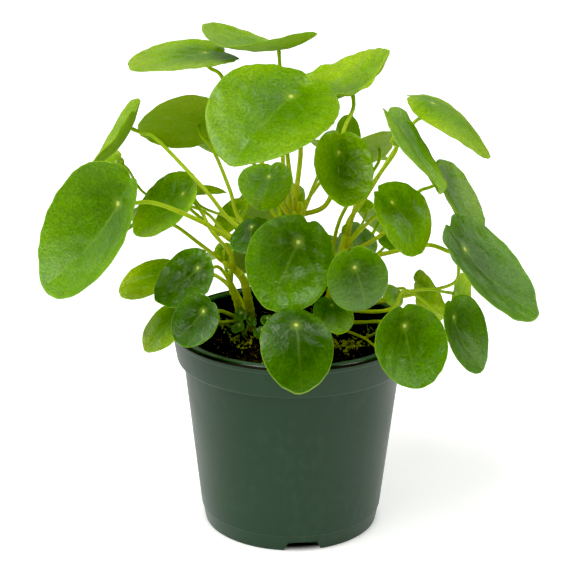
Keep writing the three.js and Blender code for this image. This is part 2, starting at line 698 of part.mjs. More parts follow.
// A plantlet: a few tiny leaves on short stalks, grown together at the foot
function makePup(name, order) {
  const { foot: [x, y], leaves } = PUPS[name];
  const crown = new THREE.Vector3(x, y, soilHeight(x, y) + PUP_CROWN_H);
  const stalkPath = [new THREE.Vector3(x, y, ROOT_Z), crown];
  let body = solid(limb(stalkPath, [PUP_STALK_R, PUP_STALK_R], STALK_SIDES));
  leaves.forEach(([reach, azimuth, length], i) => {
    const hub = crown.clone().add(vec(reach));
    const young = {
      hub: hub.toArray(), faces: [azimuth, PUP_TILT], turn: 0,
      size: [length, 0.94 * length], dish: 0.2, fold: 0.1,
    };
    const stalk = limb([crown, crown.clone().lerp(hub, 0.5), hub], PUP_LEAF_STALK_R, STALK_SIDES);
    body = body.add(solid(stalk)).add(solid(bladeGeometry(young, order + i)));
  });
  return piece(name, geometryOf(body), FINISH.leaf);
}

function makePlant() {
  const plant = new THREE.Group();
  Object.keys(STEMS).forEach((name) => plant.add(makeStem(name)));
  LEAVES.forEach((leaf, index) => {
    plant.add(piece(leaf.name, bladeGeometry(leaf, index), FINISH.leaf));
  });
  Object.keys(PUPS).forEach((name, i) => plant.add(makePup(name, LEAVES.length + 3 * i)));
  return plant;
}

const pottedPilea = new THREE.Group();
pottedPilea.add(makePot(), makeSoil(), makePlant());

export default pottedPilea;
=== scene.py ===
"""A potted pilea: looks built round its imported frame, in metres."""

from __future__ import annotations

import logging
import math
import random
from dataclasses import dataclass, field, replace
from enum import Enum

import bpy
import numpy as np
from mathutils import Matrix, Vector


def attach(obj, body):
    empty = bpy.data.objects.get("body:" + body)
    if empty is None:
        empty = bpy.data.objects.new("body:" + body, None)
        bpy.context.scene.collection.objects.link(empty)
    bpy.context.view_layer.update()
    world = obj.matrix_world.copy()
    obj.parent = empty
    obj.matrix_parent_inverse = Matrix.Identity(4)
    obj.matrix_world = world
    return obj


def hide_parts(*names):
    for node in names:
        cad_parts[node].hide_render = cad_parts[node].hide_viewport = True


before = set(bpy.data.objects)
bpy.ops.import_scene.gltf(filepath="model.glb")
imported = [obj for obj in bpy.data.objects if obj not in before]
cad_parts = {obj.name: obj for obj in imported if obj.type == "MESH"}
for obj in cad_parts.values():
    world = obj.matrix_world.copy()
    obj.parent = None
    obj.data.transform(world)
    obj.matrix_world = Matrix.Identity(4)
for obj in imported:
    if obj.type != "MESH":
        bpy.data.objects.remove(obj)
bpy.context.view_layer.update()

log = logging.getLogger("pilea")
logging.basicConfig(level=logging.INFO, format="%(name)s: %(message)s")

# Places and sizes are in millimetres up to the mesh, and in metres from there on
MM = 0.001
FULL_TURN = 2 * math.pi

Point = tuple[float, float, float]
Pair = tuple[float, float]
Faces = list[tuple[int, ...]]
Body = tuple[np.ndarray, Faces, dict[str, np.ndarray]]
Tree = bpy.types.NodeTree
Socket = bpy.types.NodeSocket
Material = bpy.types.Material
Piece = bpy.types.Object

# Settings that many nodes share
SMOOTH = {"interpolation_type": "SMOOTHSTEP"}
PLUS = {"operation": "ADD"}
TIMES = {"operation": "MULTIPLY"}
TIMES_PLUS = {"operation": "MULTIPLY_ADD"}
TIMES_PLUS_CLAMPED = {"operation": "MULTIPLY_ADD", "use_clamp": True}
COLOURS = {"data_type": "RGBA"}

# Rings of a limb's domed end: how far out and how wide, as shares of its radius
DOME = ((0.9, 0.35), (0.6, 0.75))

# Where the chances of a leaf's outline, quilting and colour start; its index is added
OUTLINE_SEED, QUILT_SEED, RIPE_SEED = 500, 700, 900


# ----------------------------------------------------------------------------------------------
# Choices
# ----------------------------------------------------------------------------------------------


class Green(Enum):
    """How far a blade has ripened, made lighter or darker as painted light and shade for where it hangs: its
    place on the ramp of leaf greens.
    """

    AGED = 0.02
    DEEP = 0.2
    DULL = 0.3
    MATURE = 0.4
    GROWN = 0.5
    FRESH = 0.6
    BRIGHT = 0.7
    TENDER = 0.8
    YOUNG = 0.92


class Stem(Enum):
    """The four stems that stand in the soil, by their CAD node."""

    MAIN = "stem_main"
    LEFT = "stem_left"
    LOW_LEFT = "stem_low_left"
    RIGHT = "stem_right"


# ----------------------------------------------------------------------------------------------
# Small helpers
# ----------------------------------------------------------------------------------------------


def paint(code: str) -> tuple[float, float, float, float]:
    """Turns an sRGB hex code into the linear colour that a shader takes.

    Args:
        code: Six hex digits after a hash sign.

    Returns:
        Linear red, green and blue, and full opacity.
    """
    parts = [int(code[i : i + 2], 16) / 255 for i in (1, 3, 5)]
    red, green, blue = (c / 12.92 if c <= 0.04045 else ((c + 0.055) / 1.055) ** 2.4 for c in parts)
    return (red, green, blue, 1.0)


def per_size(size_mm: float) -> float:
    """Gives the texture scale at which one pattern cell is this many millimetres wide."""
    return 1000.0 / size_mm


def add(
    tree: Tree,
    kind: str,
    options: dict[str, object] | None = None,
    values: dict[str | int, object] | None = None,
    links: dict[str | int, Socket] | None = None,
) -> bpy.types.Node:
    """Adds a node with its settings and links.

    Args:
        tree: Node tree that takes the node.
        kind: Blender's name of the node type.
        options: Properties of the node itself.
        values: Unlinked input sockets and what they hold.
        links: Input sockets and the output sockets that feed them.

    Returns:
        The new node.
    """
    node = tree.nodes.new(kind)
    for name, value in (options or {}).items():
        setattr(node, name, value)
    for name, value in (values or {}).items():
        node.inputs[name].default_value = value
    for name, source in (links or {}).items():
        tree.links.new(source, node.inputs[name])
    return node


def new_material(name: str) -> tuple[Material, Tree]:
    """Makes an empty node material.

    Args:
        name: Name of the finish.

    Returns:
        The material and its node tree, with an output node only.
    """
    material = bpy.data.materials.new(name)
    material.use_nodes = True
    tree = material.node_tree
    tree.nodes.clear()
    tree.nodes.new("ShaderNodeOutputMaterial")
    return material, tree


def finish_tree(tree: Tree, shader: bpy.types.Node) -> None:
    """Feeds a shader to the material's output."""
    output = tree.nodes["Material Output"]
    tree.links.new(shader.outputs[0], output.inputs["Surface"])


def ramp(node: bpy.types.Node, stops: list[tuple[float, str]]) -> None:
    """Sets the stops of a colour ramp.

    Args:
        node: The colour ramp node.
        stops: Places from 0 to 1 and their hex colours, in order.
    """
    elements = node.color_ramp.elements
    while len(elements) < len(stops):
        elements.new(0.5)
    for element, (place, code) in zip(elements, stops):
        element.position = place
        element.color = paint(code)


def make_piece(name: str, body: Body, material: Material, smooth_angle: float | None = None) -> Piece:
    """Makes a mesh object in the shared frame.

    Args:
        name: Name of the piece.
        body: Vertices in millimetres, faces, and marks: vertex attributes by name, of one
            number or three.
        material: Finish of the whole piece.
        smooth_angle: Edges sharper than this many degrees stay hard. None smooths all.

    Returns:
        The object, riding on the one body of the plant.
    """
    points, faces, marks = body
    mesh = bpy.data.meshes.new(name)
    mesh.from_pydata((points * MM).tolist(), [], faces)
    mesh.validate()
    for mark, numbers in marks.items():
        kind, key = ("FLOAT", "value") if numbers.ndim == 1 else ("FLOAT_VECTOR", "vector")
        layer = mesh.attributes.new(mark, kind, "POINT")
        layer.data.foreach_set(key, np.asarray(numbers, dtype=np.float32).ravel())
    mesh.polygons.foreach_set("use_smooth", [True] * len(mesh.polygons))
    if smooth_angle is not None:
        mesh.set_sharp_from_angle(angle=math.radians(smooth_angle))
    mesh.materials.append(material)
    mesh.update()
    piece = bpy.data.objects.new(name, mesh)
    bpy.context.scene.collection.objects.link(piece)
    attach(piece, "root")
    return piece


def merge(parts: list[Body]) -> Body:
    """Joins several closed bodies into one.

    Args:
        parts: Points, faces and vertex marks of each body.

    Returns:
        The same, joined.
    """
    points: list[np.ndarray] = []
    faces: Faces = []
    marks: dict[str, list[np.ndarray]] = {}
    start = 0
    for body_points, body_faces, body_marks in parts:
        points.append(body_points)
        faces += [tuple(i + start for i in face) for face in body_faces]
        for mark, numbers in body_marks.items():
            marks.setdefault(mark, []).append(numbers)
        start += len(body_points)
    return np.vstack(points), faces, {mark: np.concatenate(n) for mark, n in marks.items()}


def unit(v: np.ndarray) -> np.ndarray:
    """Scales a vector to length one."""
    return v / (np.linalg.norm(v) or 1.0)


def spans_of(path: np.ndarray) -> np.ndarray:
    """Gives how far along a path each of its points lies."""
    return np.r_[0, np.cumsum(np.linalg.norm(np.diff(path, axis=0), axis=1))]


def turns_of(around: int) -> np.ndarray:
    """Gives this many angles, evenly round a circle."""
    return FULL_TURN * np.arange(around) / around


def curve_through(points: np.ndarray, steps: int) -> np.ndarray:
    """Runs a centripetal curve through points, as the frame's stalks do.

    Args:
        points: Points that the curve passes.
        steps: Steps between two of them.

    Returns:
        Points along the curve, ends included.
    """
    rows = [2 * points[0] - points[1], *points, 2 * points[-1] - points[-2]]
    result = []
    for i in range(1, len(rows) - 2):
        p0, p1, p2, p3 = rows[i - 1 : i + 3]
        pairs = ((p0, p1), (p1, p2), (p2, p3))
        d0, d1, d2 = (max(np.linalg.norm(b - a), 1e-6) ** 0.5 for a, b in pairs)
        t1 = ((p1 - p0) / d0 - (p2 - p0) / (d0 + d1) + (p2 - p1) / d1) * d1
        t2 = ((p2 - p1) / d1 - (p3 - p1) / (d1 + d2) + (p3 - p2) / d2) * d1
        c2 = -3 * p1 + 3 * p2 - 2 * t1 - t2
        c3 = 2 * p1 - 2 * p2 + t1 + t2
        result += [p1 + t1 * t + c2 * t * t + c3 * t**3 for t in np.arange(steps) / steps]
    result.append(rows[-2])
    return np.array(result)


def tube(path: np.ndarray, radii: np.ndarray, sides: int, mark: np.ndarray | None = None) -> Body:
    """Makes a closed round limb along a path, with domed ends.

    Args:
        path: Points along its middle.
        radii: Radius at each of them.
        sides: Points round it.
        mark: One number a path point, kept with every vertex as "along". None keeps none.

    Returns:
        Points, faces and marks of the limb.
    """
    first, last = unit(path[0] - path[1]), unit(path[-1] - path[-2])
    foot = [(path[0] + first * radii[0] * out, radii[0] * wide) for out, wide in DOME]
    tip = [(path[-1] + last * radii[-1] * out, radii[-1] * wide) for out, wide in reversed(DOME)]
    middle = np.array([place for place, _ in foot] + list(path) + [place for place, _ in tip])
    reach = np.array([r for _, r in foot] + list(radii) + [r for _, r in tip])
    turns = turns_of(sides)
    side = np.array([1.0, 0.0, 0.0])
    points = []
    for i, centre in enumerate(middle):
        run = unit(middle[min(i + 1, len(middle) - 1)] - middle[max(i - 1, 0)])
        if i == 0 and abs(run[0]) > 0.9:
            side = np.array([0.0, 1.0, 0.0])
        side = unit(side - run * side.dot(run))
        across = np.cross(run, side)
        points.append(centre + reach[i] * (np.outer(np.cos(turns), side) + np.outer(np.sin(turns), across)))
    faces: Faces = []
    for i in range(len(middle) - 1):
        for k in range(sides):
            m = (k + 1) % sides
            faces.append((i * sides + k, i * sides + m, (i + 1) * sides + m, (i + 1) * sides + k))
    faces.append(tuple(reversed(range(sides))))
    faces.append(tuple((len(middle) - 1) * sides + k for k in range(sides)))
    marks = {}
    if mark is not None:
        marks["along"] = np.repeat(np.pad(mark, len(DOME), mode="edge"), sides)
    return np.vstack(points), faces, marks


def ring_at(radius: float, height: float, around: int) -> np.ndarray:
    """Gives the points of a level ring round the pot's axis."""
    turns = turns_of(around)
    return np.column_stack([radius * np.cos(turns), radius * np.sin(turns), np.full(around, height)])


def closed(first: Point | np.ndarray, rings: list[np.ndarray], last: Point | np.ndarray) -> Body:
    """Closes a skin from one point over rings of points to another.

    Args:
        first: The point that the skin starts from.
        rings: The rings in order, all of as many points.
        last: The point that it ends in.

    Returns:
        Points, faces and no marks. The faces look out where the rings run from the top down.
    """
    around = len(rings[0])
    points = np.vstack([first, *rings, last])
    end = 1 + (len(rings) - 1) * around
    faces: Faces = []
    for k in range(around):
        m = (k + 1) % around
        faces.append((0, 1 + k, 1 + m))
        for ring in range(1, end, around):
            after = ring + around
            faces.append((ring + k, after + k, after + m, ring + m))
        faces.append((end + m, end + k, len(points) - 1))
    return points, faces, {}


# ----------------------------------------------------------------------------------------------
# Finishes
# ----------------------------------------------------------------------------------------------


@dataclass(frozen=True)
class BladeFinish:
    """Living leaf blade: a waxy cuticle over soft green tissue.

    The wax gives a broad, greyish sheen, the tissue lets a little light through, and the
    surface is quilted between faint veins that spread from the pale scar of the stalk. The
    cells of the tissue are finer than a tenth of a millimetre, too fine to show, and are
    drawn as coarse as the grain.
    """

    greens: tuple[str, ...] = ("#2f5602", "#447003", "#578705", "#6c9c08", "#86b00f", "#a8c41c")
    underside: str = "#87ab25"
    vein: str = "#a9c93a"
    scar: str = "#cfdc6c"
    rim: str = "#a2c22a"
    veins_at: tuple[float, ...] = (0.0, 0.52, 1.05, 1.62, 2.3)
    vein_mm: float = 0.5
    vein_edge: Pair = (2.4, 0.2)
    midrib_width: float = 1.4
    side_vein_share: float = 0.4
    vein_share: float = 0.13
    valley_mm: Pair = (-4.0, 8.0)
    cloud_mm: float = 22.0
    quilt_mm: float = 6.0
    grain_mm: float = 1.6
    cloud_swing: float = 0.42
    painted_centre_shade: float = 0.16
    mottle: Pair = (0.78, 1.2)
    under_share: float = 0.6
    under_matt: float = 0.25
    roughness: Pair = (0.28, 0.46)
    groove_depth: float = 0.06
    valley_depth: float = 0.6
    grain_depth: float = 0.34

    def material(self) -> Material:
        """Builds the blade's material from the marks that every blade carries.

        Returns:
            The material.
        """
        material, tree = new_material("leaf_blade_waxy")
        where = add(tree, "ShaderNodeTexCoord").outputs["Object"]
        spread, kind = (
            add(tree, "ShaderNodeAttribute", {"attribute_name": mark}).outputs["Vector"]
            for mark in ("spread", "kind")
        )
        angle, reach, share = add(tree, "ShaderNodeSeparateXYZ", links={0: spread}).outputs
        green, under, crinkle = add(tree, "ShaderNodeSeparateXYZ", links={0: kind}).outputs
        clouds, quilt, grain = (
            add(tree, "ShaderNodeTexNoise", values={"Scale": per_size(size), "Detail": 2.5},
                links={"Vector": where}).outputs["Fac"]
            for size in (self.cloud_mm, self.quilt_mm, self.grain_mm)
        )
        lines = self.vein_lines(tree, angle, reach)
        tissue = self.tissue(tree, clouds, grain, green, share)
        colour = self.layered(tree, tissue, lines, under, reach, share)
        swell = add(tree, "ShaderNodeMath", TIMES, links={0: quilt, 1: crinkle})
        normal = self.relief(tree, swell.outputs[0], lines, grain, angle, reach)
        glossy, dull = self.roughness
        rough = add(
            tree, "ShaderNodeMapRange",
            values={"From Min": 0.3, "From Max": 0.7, "To Min": glossy, "To Max": dull},
            links={"Value": quilt},
        )
        matt = add(tree, "ShaderNodeMath", TIMES_PLUS, {1: self.under_matt}, {0: under, 2: rough.outputs[0]})
        shader = add(
            tree, "ShaderNodeBsdfPrincipled",
            values={
                "IOR": 1.45,
                "Specular IOR Level": 0.42,
                "Subsurface Weight": 0.4,
                "Subsurface Radius": (0.5, 1.0, 0.1),
                "Subsurface Scale": 1.6 * MM,
            },
            links={"Base Color": colour, "Roughness": matt.outputs[0], "Normal": normal},
        )
        finish_tree(tree, shader)
        return material

    def vein_lines(self, tree: Tree, angle: Socket, reach: Socket) -> Socket:
        """Draws the veins that spread from the stalk's scar.

        Args:
            tree: Node tree of the blade.
            angle: Angle from the midrib, curved as the veins are.
            reach: Distance from the scar in millimetres.

        Returns:
            One along the midrib, less along the side veins, and nought between them.
        """
        total: Socket | None = None
        off, on = self.vein_edge
        for order, place in enumerate(self.veins_at):
            is_midrib = order == 0
            width = self.vein_mm * (self.midrib_width if is_midrib else 1.0)
            strength = 1.0 if is_midrib else self.side_vein_share
            away = add(tree, "ShaderNodeMath", {"operation": "SUBTRACT"}, {1: place}, {0: angle})
            arc = add(tree, "ShaderNodeMath", TIMES, links={0: away.outputs[0], 1: reach})
            far = add(tree, "ShaderNodeMath", {"operation": "ABSOLUTE"}, links={0: arc.outputs[0]})
            line = add(
                tree, "ShaderNodeMapRange", SMOOTH,
                {"From Min": off * width, "From Max": on * width, "To Min": 0.0, "To Max": strength},
                {"Value": far.outputs[0]},
            )
            if total is None:
                total = line.outputs[0]
                continue
            most = add(tree, "ShaderNodeMath", {"operation": "MAXIMUM"}, links={0: total, 1: line.outputs[0]})
            total = most.outputs[0]
        return total

    def tissue(self, tree: Tree, clouds: Socket, grain: Socket, green: Socket, share: Socket) -> Socket:
        """Colours the tissue by how ripe it is, with painted shade darker round the scar and lighter toward
        the rim, mottled by its cells.

        Args:
            tree: Node tree of the blade.
            clouds: Broad pattern that shifts the ripeness.
            grain: Fine pattern of the cells.
            green: The leaf's own place on the ramp of greens.
            share: Share of the way from the scar to the rim.

        Returns:
            The colour of the tissue.
        """
        shift = add(
            tree, "ShaderNodeMath", TIMES_PLUS, {1: self.cloud_swing, 2: -self.cloud_swing / 2}, {0: clouds}
        )
        aged = add(tree, "ShaderNodeMath", PLUS, links={0: shift.outputs[0], 1: green})
        # Painted shade and light: darker round the scar, lighter toward the rim
        outward = add(
            tree, "ShaderNodeMapRange", SMOOTH,
            {"From Min": 0.1, "From Max": 1.0, "To Min": -self.painted_centre_shade, "To Max": self.painted_centre_shade},
            {"Value": share},
        )
        ripe = add(tree, "ShaderNodeMath", PLUS, links={0: aged.outputs[0], 1: outward.outputs[0]})
        greens = add(tree, "ShaderNodeValToRGB", links={"Fac": ripe.outputs[0]})
        ramp(greens, [(i / (len(self.greens) - 1), code) for i, code in enumerate(self.greens)])
        mottle = add(
            tree, "ShaderNodeMapRange",
            values={"From Min": 0.35, "From Max": 0.7, "To Min": self.mottle[0], "To Max": self.mottle[1]},
            links={"Value": grain},
        )
        mottled = add(
            tree, "ShaderNodeVectorMath", {"operation": "SCALE"},
            links={0: greens.outputs["Color"], "Scale": mottle.outputs[0]},
        )
        return mottled.outputs[0]

    def layered(
        self, tree: Tree, tissue: Socket, lines: Socket, under: Socket, reach: Socket, share: Socket
    ) -> Socket:
        """Lays the underside's bloom, the veins, the scar and the rim over the tissue.

        Args:
            tree: Node tree of the blade.
            tissue: Colour of the tissue.
            lines: Where the veins run.
            under: One on the underside and nought on top.
            reach: Distance from the scar in millimetres.
            share: Share of the way from the scar to the rim.

        Returns:
            The colour of the blade.
        """
        fade = add(
            tree, "ShaderNodeMapRange", SMOOTH,
            {"From Min": 1.0, "From Max": 0.3, "To Min": 0.0, "To Max": self.vein_share}, {"Value": share},
        )
        veined = add(tree, "ShaderNodeMath", TIMES, links={0: lines, 1: fade.outputs[0]})
        lower = add(tree, "ShaderNodeMath", TIMES, {1: self.under_share}, {0: under})
        layers = [(self.underside, lower.outputs[0]), (self.vein, veined.outputs[0])]
        # The light patch round the scar, the scar itself, and the rim
        for code, value, off, on, strength in (
            (self.vein, reach, 6.0, 1.2, 0.25),
            (self.scar, reach, 1.95, 0.6, 0.85),
            (self.rim, share, 0.97, 0.998, 0.3),
        ):
            band = add(
                tree, "ShaderNodeMapRange", SMOOTH,
                {"From Min": off, "From Max": on, "To Min": 0.0, "To Max": strength}, {"Value": value},
            )
            layers.append((code, band.outputs[0]))
        colour = tissue
        for code, strength in layers:
            layer = add(
                tree, "ShaderNodeMix", COLOURS, {"B": paint(code)}, {"Factor": strength, "A": colour}
            )
            colour = layer.outputs["Result"]
        return colour

    def relief(
        self, tree: Tree, swell: Socket, lines: Socket, grain: Socket, angle: Socket, reach: Socket
    ) -> Socket:
        """Raises the quilting and the cells, sinks the veins and dips the blade beside its midrib.

        Args:
            tree: Node tree of the blade.
            swell: Height of the quilting.
            lines: Where the veins run.
            grain: Fine pattern of the cells.
            angle: Angle from the midrib.
            reach: Distance from the scar in millimetres.

        Returns:
            The bent normal.
        """
        sunk = add(tree, "ShaderNodeMath", TIMES_PLUS, {1: -self.groove_depth}, {0: lines, 2: swell})
        aside = add(tree, "ShaderNodeMath", {"operation": "SINE"}, links={0: angle})
        off_rib = add(tree, "ShaderNodeMath", TIMES, links={0: aside.outputs[0], 1: reach})
        near, far = self.valley_mm
        valley = add(
            tree, "ShaderNodeMapRange", SMOOTH,
            {"From Min": near, "From Max": far, "To Min": 0.0, "To Max": self.valley_depth},
            {"Value": off_rib.outputs[0]},
        )
        creased = add(tree, "ShaderNodeMath", PLUS, links={0: sunk.outputs[0], 1: valley.outputs[0]})
        height = add(
            tree, "ShaderNodeMath", TIMES_PLUS, {1: self.grain_depth}, {0: grain, 2: creased.outputs[0]}
        )
        bump = add(
            tree, "ShaderNodeBump", values={"Strength": 0.8, "Distance": 1.5 * MM},
            links={"Height": height.outputs[0]},
        )
        return bump.outputs[0]


@dataclass(frozen=True)
class StalkFinish:
    """Fleshy leaf stalk and stem: smooth green skin, corky and brown at the foot.

    The skin shines softly and carries small brown freckles along its length. They are
    under a millimetre wide, and are drawn wider so that they show.
    """

    greens: tuple[tuple[float, str], ...] = (
        (0.0, "#84721f"), (0.12, "#b0ac2c"), (0.4, "#c6d634"), (0.8, "#b8d42c"), (1.0, "#aacd2a"),
    )
    freckle: str = "#7d5c18"
    cloud_mm: float = 9.0
    cloud_swing: float = 0.36
    freckle_mm: float = 1.6
    freckle_stretch: Point = (1.0, 1.0, 0.45)
    freckle_share: float = 0.5

    def material(self) -> Material:
        """Builds the stalk's material from its mark along the stalk.

        Returns:
            The material.
        """
        material, tree = new_material("stalk_fleshy_skin")
        where = add(tree, "ShaderNodeTexCoord").outputs["Object"]
        along = add(tree, "ShaderNodeAttribute", {"attribute_name": "along"}).outputs["Fac"]
        stretch = add(
            tree, "ShaderNodeMapping", values={"Scale": self.freckle_stretch}, links={"Vector": where}
        )
        clouds, spots = (
            add(tree, "ShaderNodeTexNoise", values={"Scale": per_size(size), "Detail": detail},
                links={"Vector": place}).outputs["Fac"]
            for size, detail, place in (
                (self.cloud_mm, 3.0, where),
                (self.freckle_mm, 1.0, stretch.outputs[0]),
            )
        )
        shift = add(
            tree, "ShaderNodeMath", TIMES_PLUS, {1: self.cloud_swing, 2: -self.cloud_swing / 2}, {0: clouds}
        )
        ripe = add(tree, "ShaderNodeMath", PLUS, links={0: shift.outputs[0], 1: along})
        skin = add(tree, "ShaderNodeValToRGB", links={"Fac": ripe.outputs[0]})
        ramp(skin, list(self.greens))
        freckles = add(
            tree, "ShaderNodeMapRange", SMOOTH,
            {"From Min": 0.64, "From Max": 0.76, "To Min": 0.0, "To Max": self.freckle_share},
            {"Value": spots},
        )
        coloured = add(
            tree, "ShaderNodeMix", COLOURS, {"B": paint(self.freckle)},
            {"Factor": freckles.outputs[0], "A": skin.outputs["Color"]},
        )
        bump = add(
            tree, "ShaderNodeBump", values={"Strength": 0.35, "Distance": 0.25 * MM}, links={"Height": spots}
        )
        shader = add(
            tree, "ShaderNodeBsdfPrincipled",
            values={
                "IOR": 1.42,
                "Roughness": 0.4,
                "Specular IOR Level": 0.3,
                "Subsurface Weight": 0.3,
                "Subsurface Radius": (0.7, 1.0, 0.15),
                "Subsurface Scale": 1.0 * MM,
            },
            links={"Base Color": coloured.outputs["Result"], "Normal": bump.outputs[0]},
        )
        finish_tree(tree, shader)
        return material


@dataclass(frozen=True)
class PotFinish:
    """Injection-moulded polypropylene, dark green and satin.

    The spark finish of the mould scatters the reflection. It is finer than a tenth of a
    millimetre, too fine to show, and is drawn as coarse as it needs to soften the gloss.
    The outer slope of the crest has a thin painted dark reflection and the ledge inside it a
    painted pale sheen, hands have polished the crest, and handling has left a few scuffs.
    """

    body: str = "#15381c"
    scuff: str = "#39543f"
    scuff_share: float = 0.25
    # Painted dark reflection: a thin dark band on the outer slope of the crest
    dark_reflection: str = "#1a1508"
    dark_reflection_r_mm: float = 75.15
    painted_band_z_mm: float = 128.1
    dark_reflection_matt: float = 0.5
    crest_z_mm: float = 129.55
    crest_polish: float = 0.24
    # Painted sheen: a pale grey-green on the ledge inside the crest, in place of its reflection
    dust_and_sheen: str = "#466057"
    ledge_sheen_share: float = 0.85
    ledge_r_mm: float = 74.3
    cloud_mm: float = 40.0
    scratch_mm: float = 5.0
    scratch_stretch: Point = (1.0, 1.0, 0.6)
    peel_mm: float = 1.6
    spark_mm: float = 0.35
    spark_depth: float = 0.3
    roughness: Pair = (0.34, 0.44)

    def material(self) -> Material:
        """Builds the pot's material.

        Returns:
            The material.
        """
        material, tree = new_material("polypropylene_moulded_satin")
        where = add(tree, "ShaderNodeTexCoord").outputs["Object"]
        streaks = add(
            tree, "ShaderNodeMapping", values={"Scale": self.scratch_stretch}, links={"Vector": where}
        )
        clouds, scratch, peel, spark = (
            add(tree, "ShaderNodeTexNoise", values={"Scale": per_size(size), "Detail": detail},
                links={"Vector": place}).outputs["Fac"]
            for size, detail, place in (
                (self.cloud_mm, 4.0, where),
                (self.scratch_mm, 4.0, streaks.outputs[0]),
                (self.peel_mm, 1.0, where),
                (self.spark_mm, 2.0, where),
            )
        )
        crest, dark_reflected, ledge = self.rim_bands(tree, where)
        worn = add(tree, "ShaderNodeMath", TIMES, links={0: clouds, 1: scratch})
        share = add(
            tree, "ShaderNodeMapRange", SMOOTH,
            {"From Min": 0.2, "From Max": 0.5, "To Min": 0.0, "To Max": self.scuff_share},
            {"Value": worn.outputs[0]},
        )
        colour = add(
            tree, "ShaderNodeMix", COLOURS, {"A": paint(self.body), "B": paint(self.scuff)},
            {"Factor": share.outputs[0]},
        ).outputs["Result"]
        # Lays the painted pale sheen on the ledge and the painted dark reflection on the crest's outer slope
        for code, strength in ((self.dust_and_sheen, ledge), (self.dark_reflection, dark_reflected)):
            layer = add(
                tree, "ShaderNodeMix", COLOURS, {"B": paint(code)}, {"Factor": strength, "A": colour}
            )
            colour = layer.outputs["Result"]
        height = add(tree, "ShaderNodeMath", TIMES_PLUS, {1: self.spark_depth}, {0: spark, 2: peel})
        bump = add(
            tree, "ShaderNodeBump", values={"Strength": 0.12, "Distance": 0.15 * MM},
            links={"Height": height.outputs[0]},
        )
        glossy, dull = self.roughness
        rough = add(
            tree, "ShaderNodeMapRange",
            values={"From Min": 0.3, "From Max": 0.7, "To Min": glossy, "To Max": dull},
            links={"Value": clouds},
        ).outputs[0]
        for change, place in ((self.dark_reflection_matt, dark_reflected), (-self.crest_polish, crest)):
            rough = add(
                tree, "ShaderNodeMath", TIMES_PLUS_CLAMPED, {1: change}, {0: place, 2: rough}
            ).outputs[0]
        shader = add(
            tree, "ShaderNodeBsdfPrincipled", values={"IOR": 1.49, "Specular IOR Level": 0.35},
            links={"Base Color": colour, "Roughness": rough, "Normal": bump.outputs[0]},
        )
        finish_tree(tree, shader)
        return material

    def rim_bands(self, tree: Tree, where: Socket) -> tuple[Socket, Socket, Socket]:
        """Finds the polished crest, the slope outside it with the painted dark reflection and the ledge
        inside it with the painted sheen.

        Args:
            tree: Node tree of the pot.
            where: Place on the pot.

        Returns:
            How far a place lies on the crest, on the slope with the painted dark reflection and on the ledge
            with the painted sheen.
        """
        up = add(tree, "ShaderNodeSeparateXYZ", links={0: where}).outputs[2]
        level = add(tree, "ShaderNodeVectorMath", TIMES, {1: (1.0, 1.0, 0.0)}, {0: where})
        out = add(tree, "ShaderNodeVectorMath", {"operation": "LENGTH"}, links={0: level.outputs[0]})
        rim, high, crest, inner = (
            add(
                tree, "ShaderNodeMapRange", SMOOTH,
                {"From Min": off * MM, "From Max": on * MM, "To Min": 0.0, "To Max": strength},
                {"Value": value},
            ).outputs[0]
            for value, off, on, strength in (
                (out.outputs["Value"], self.dark_reflection_r_mm - 0.1, self.dark_reflection_r_mm, 1.0),
                (up, self.painted_band_z_mm - 0.25, self.painted_band_z_mm + 0.1, 1.0),
                (up, self.crest_z_mm - 0.1, self.crest_z_mm + 0.1, 1.0),
                (out.outputs["Value"], self.ledge_r_mm, self.ledge_r_mm - 0.2, self.ledge_sheen_share),
            )
        )
        slope = add(tree, "ShaderNodeMath", TIMES, links={0: rim, 1: high})
        dark_reflected = add(
            tree, "ShaderNodeMath", {"operation": "SUBTRACT", "use_clamp": True},
            links={0: slope.outputs[0], 1: crest},
        )
        ledge = add(tree, "ShaderNodeMath", TIMES, links={0: inner, 1: high})
        return crest, dark_reflected.outputs[0], ledge.outputs[0]


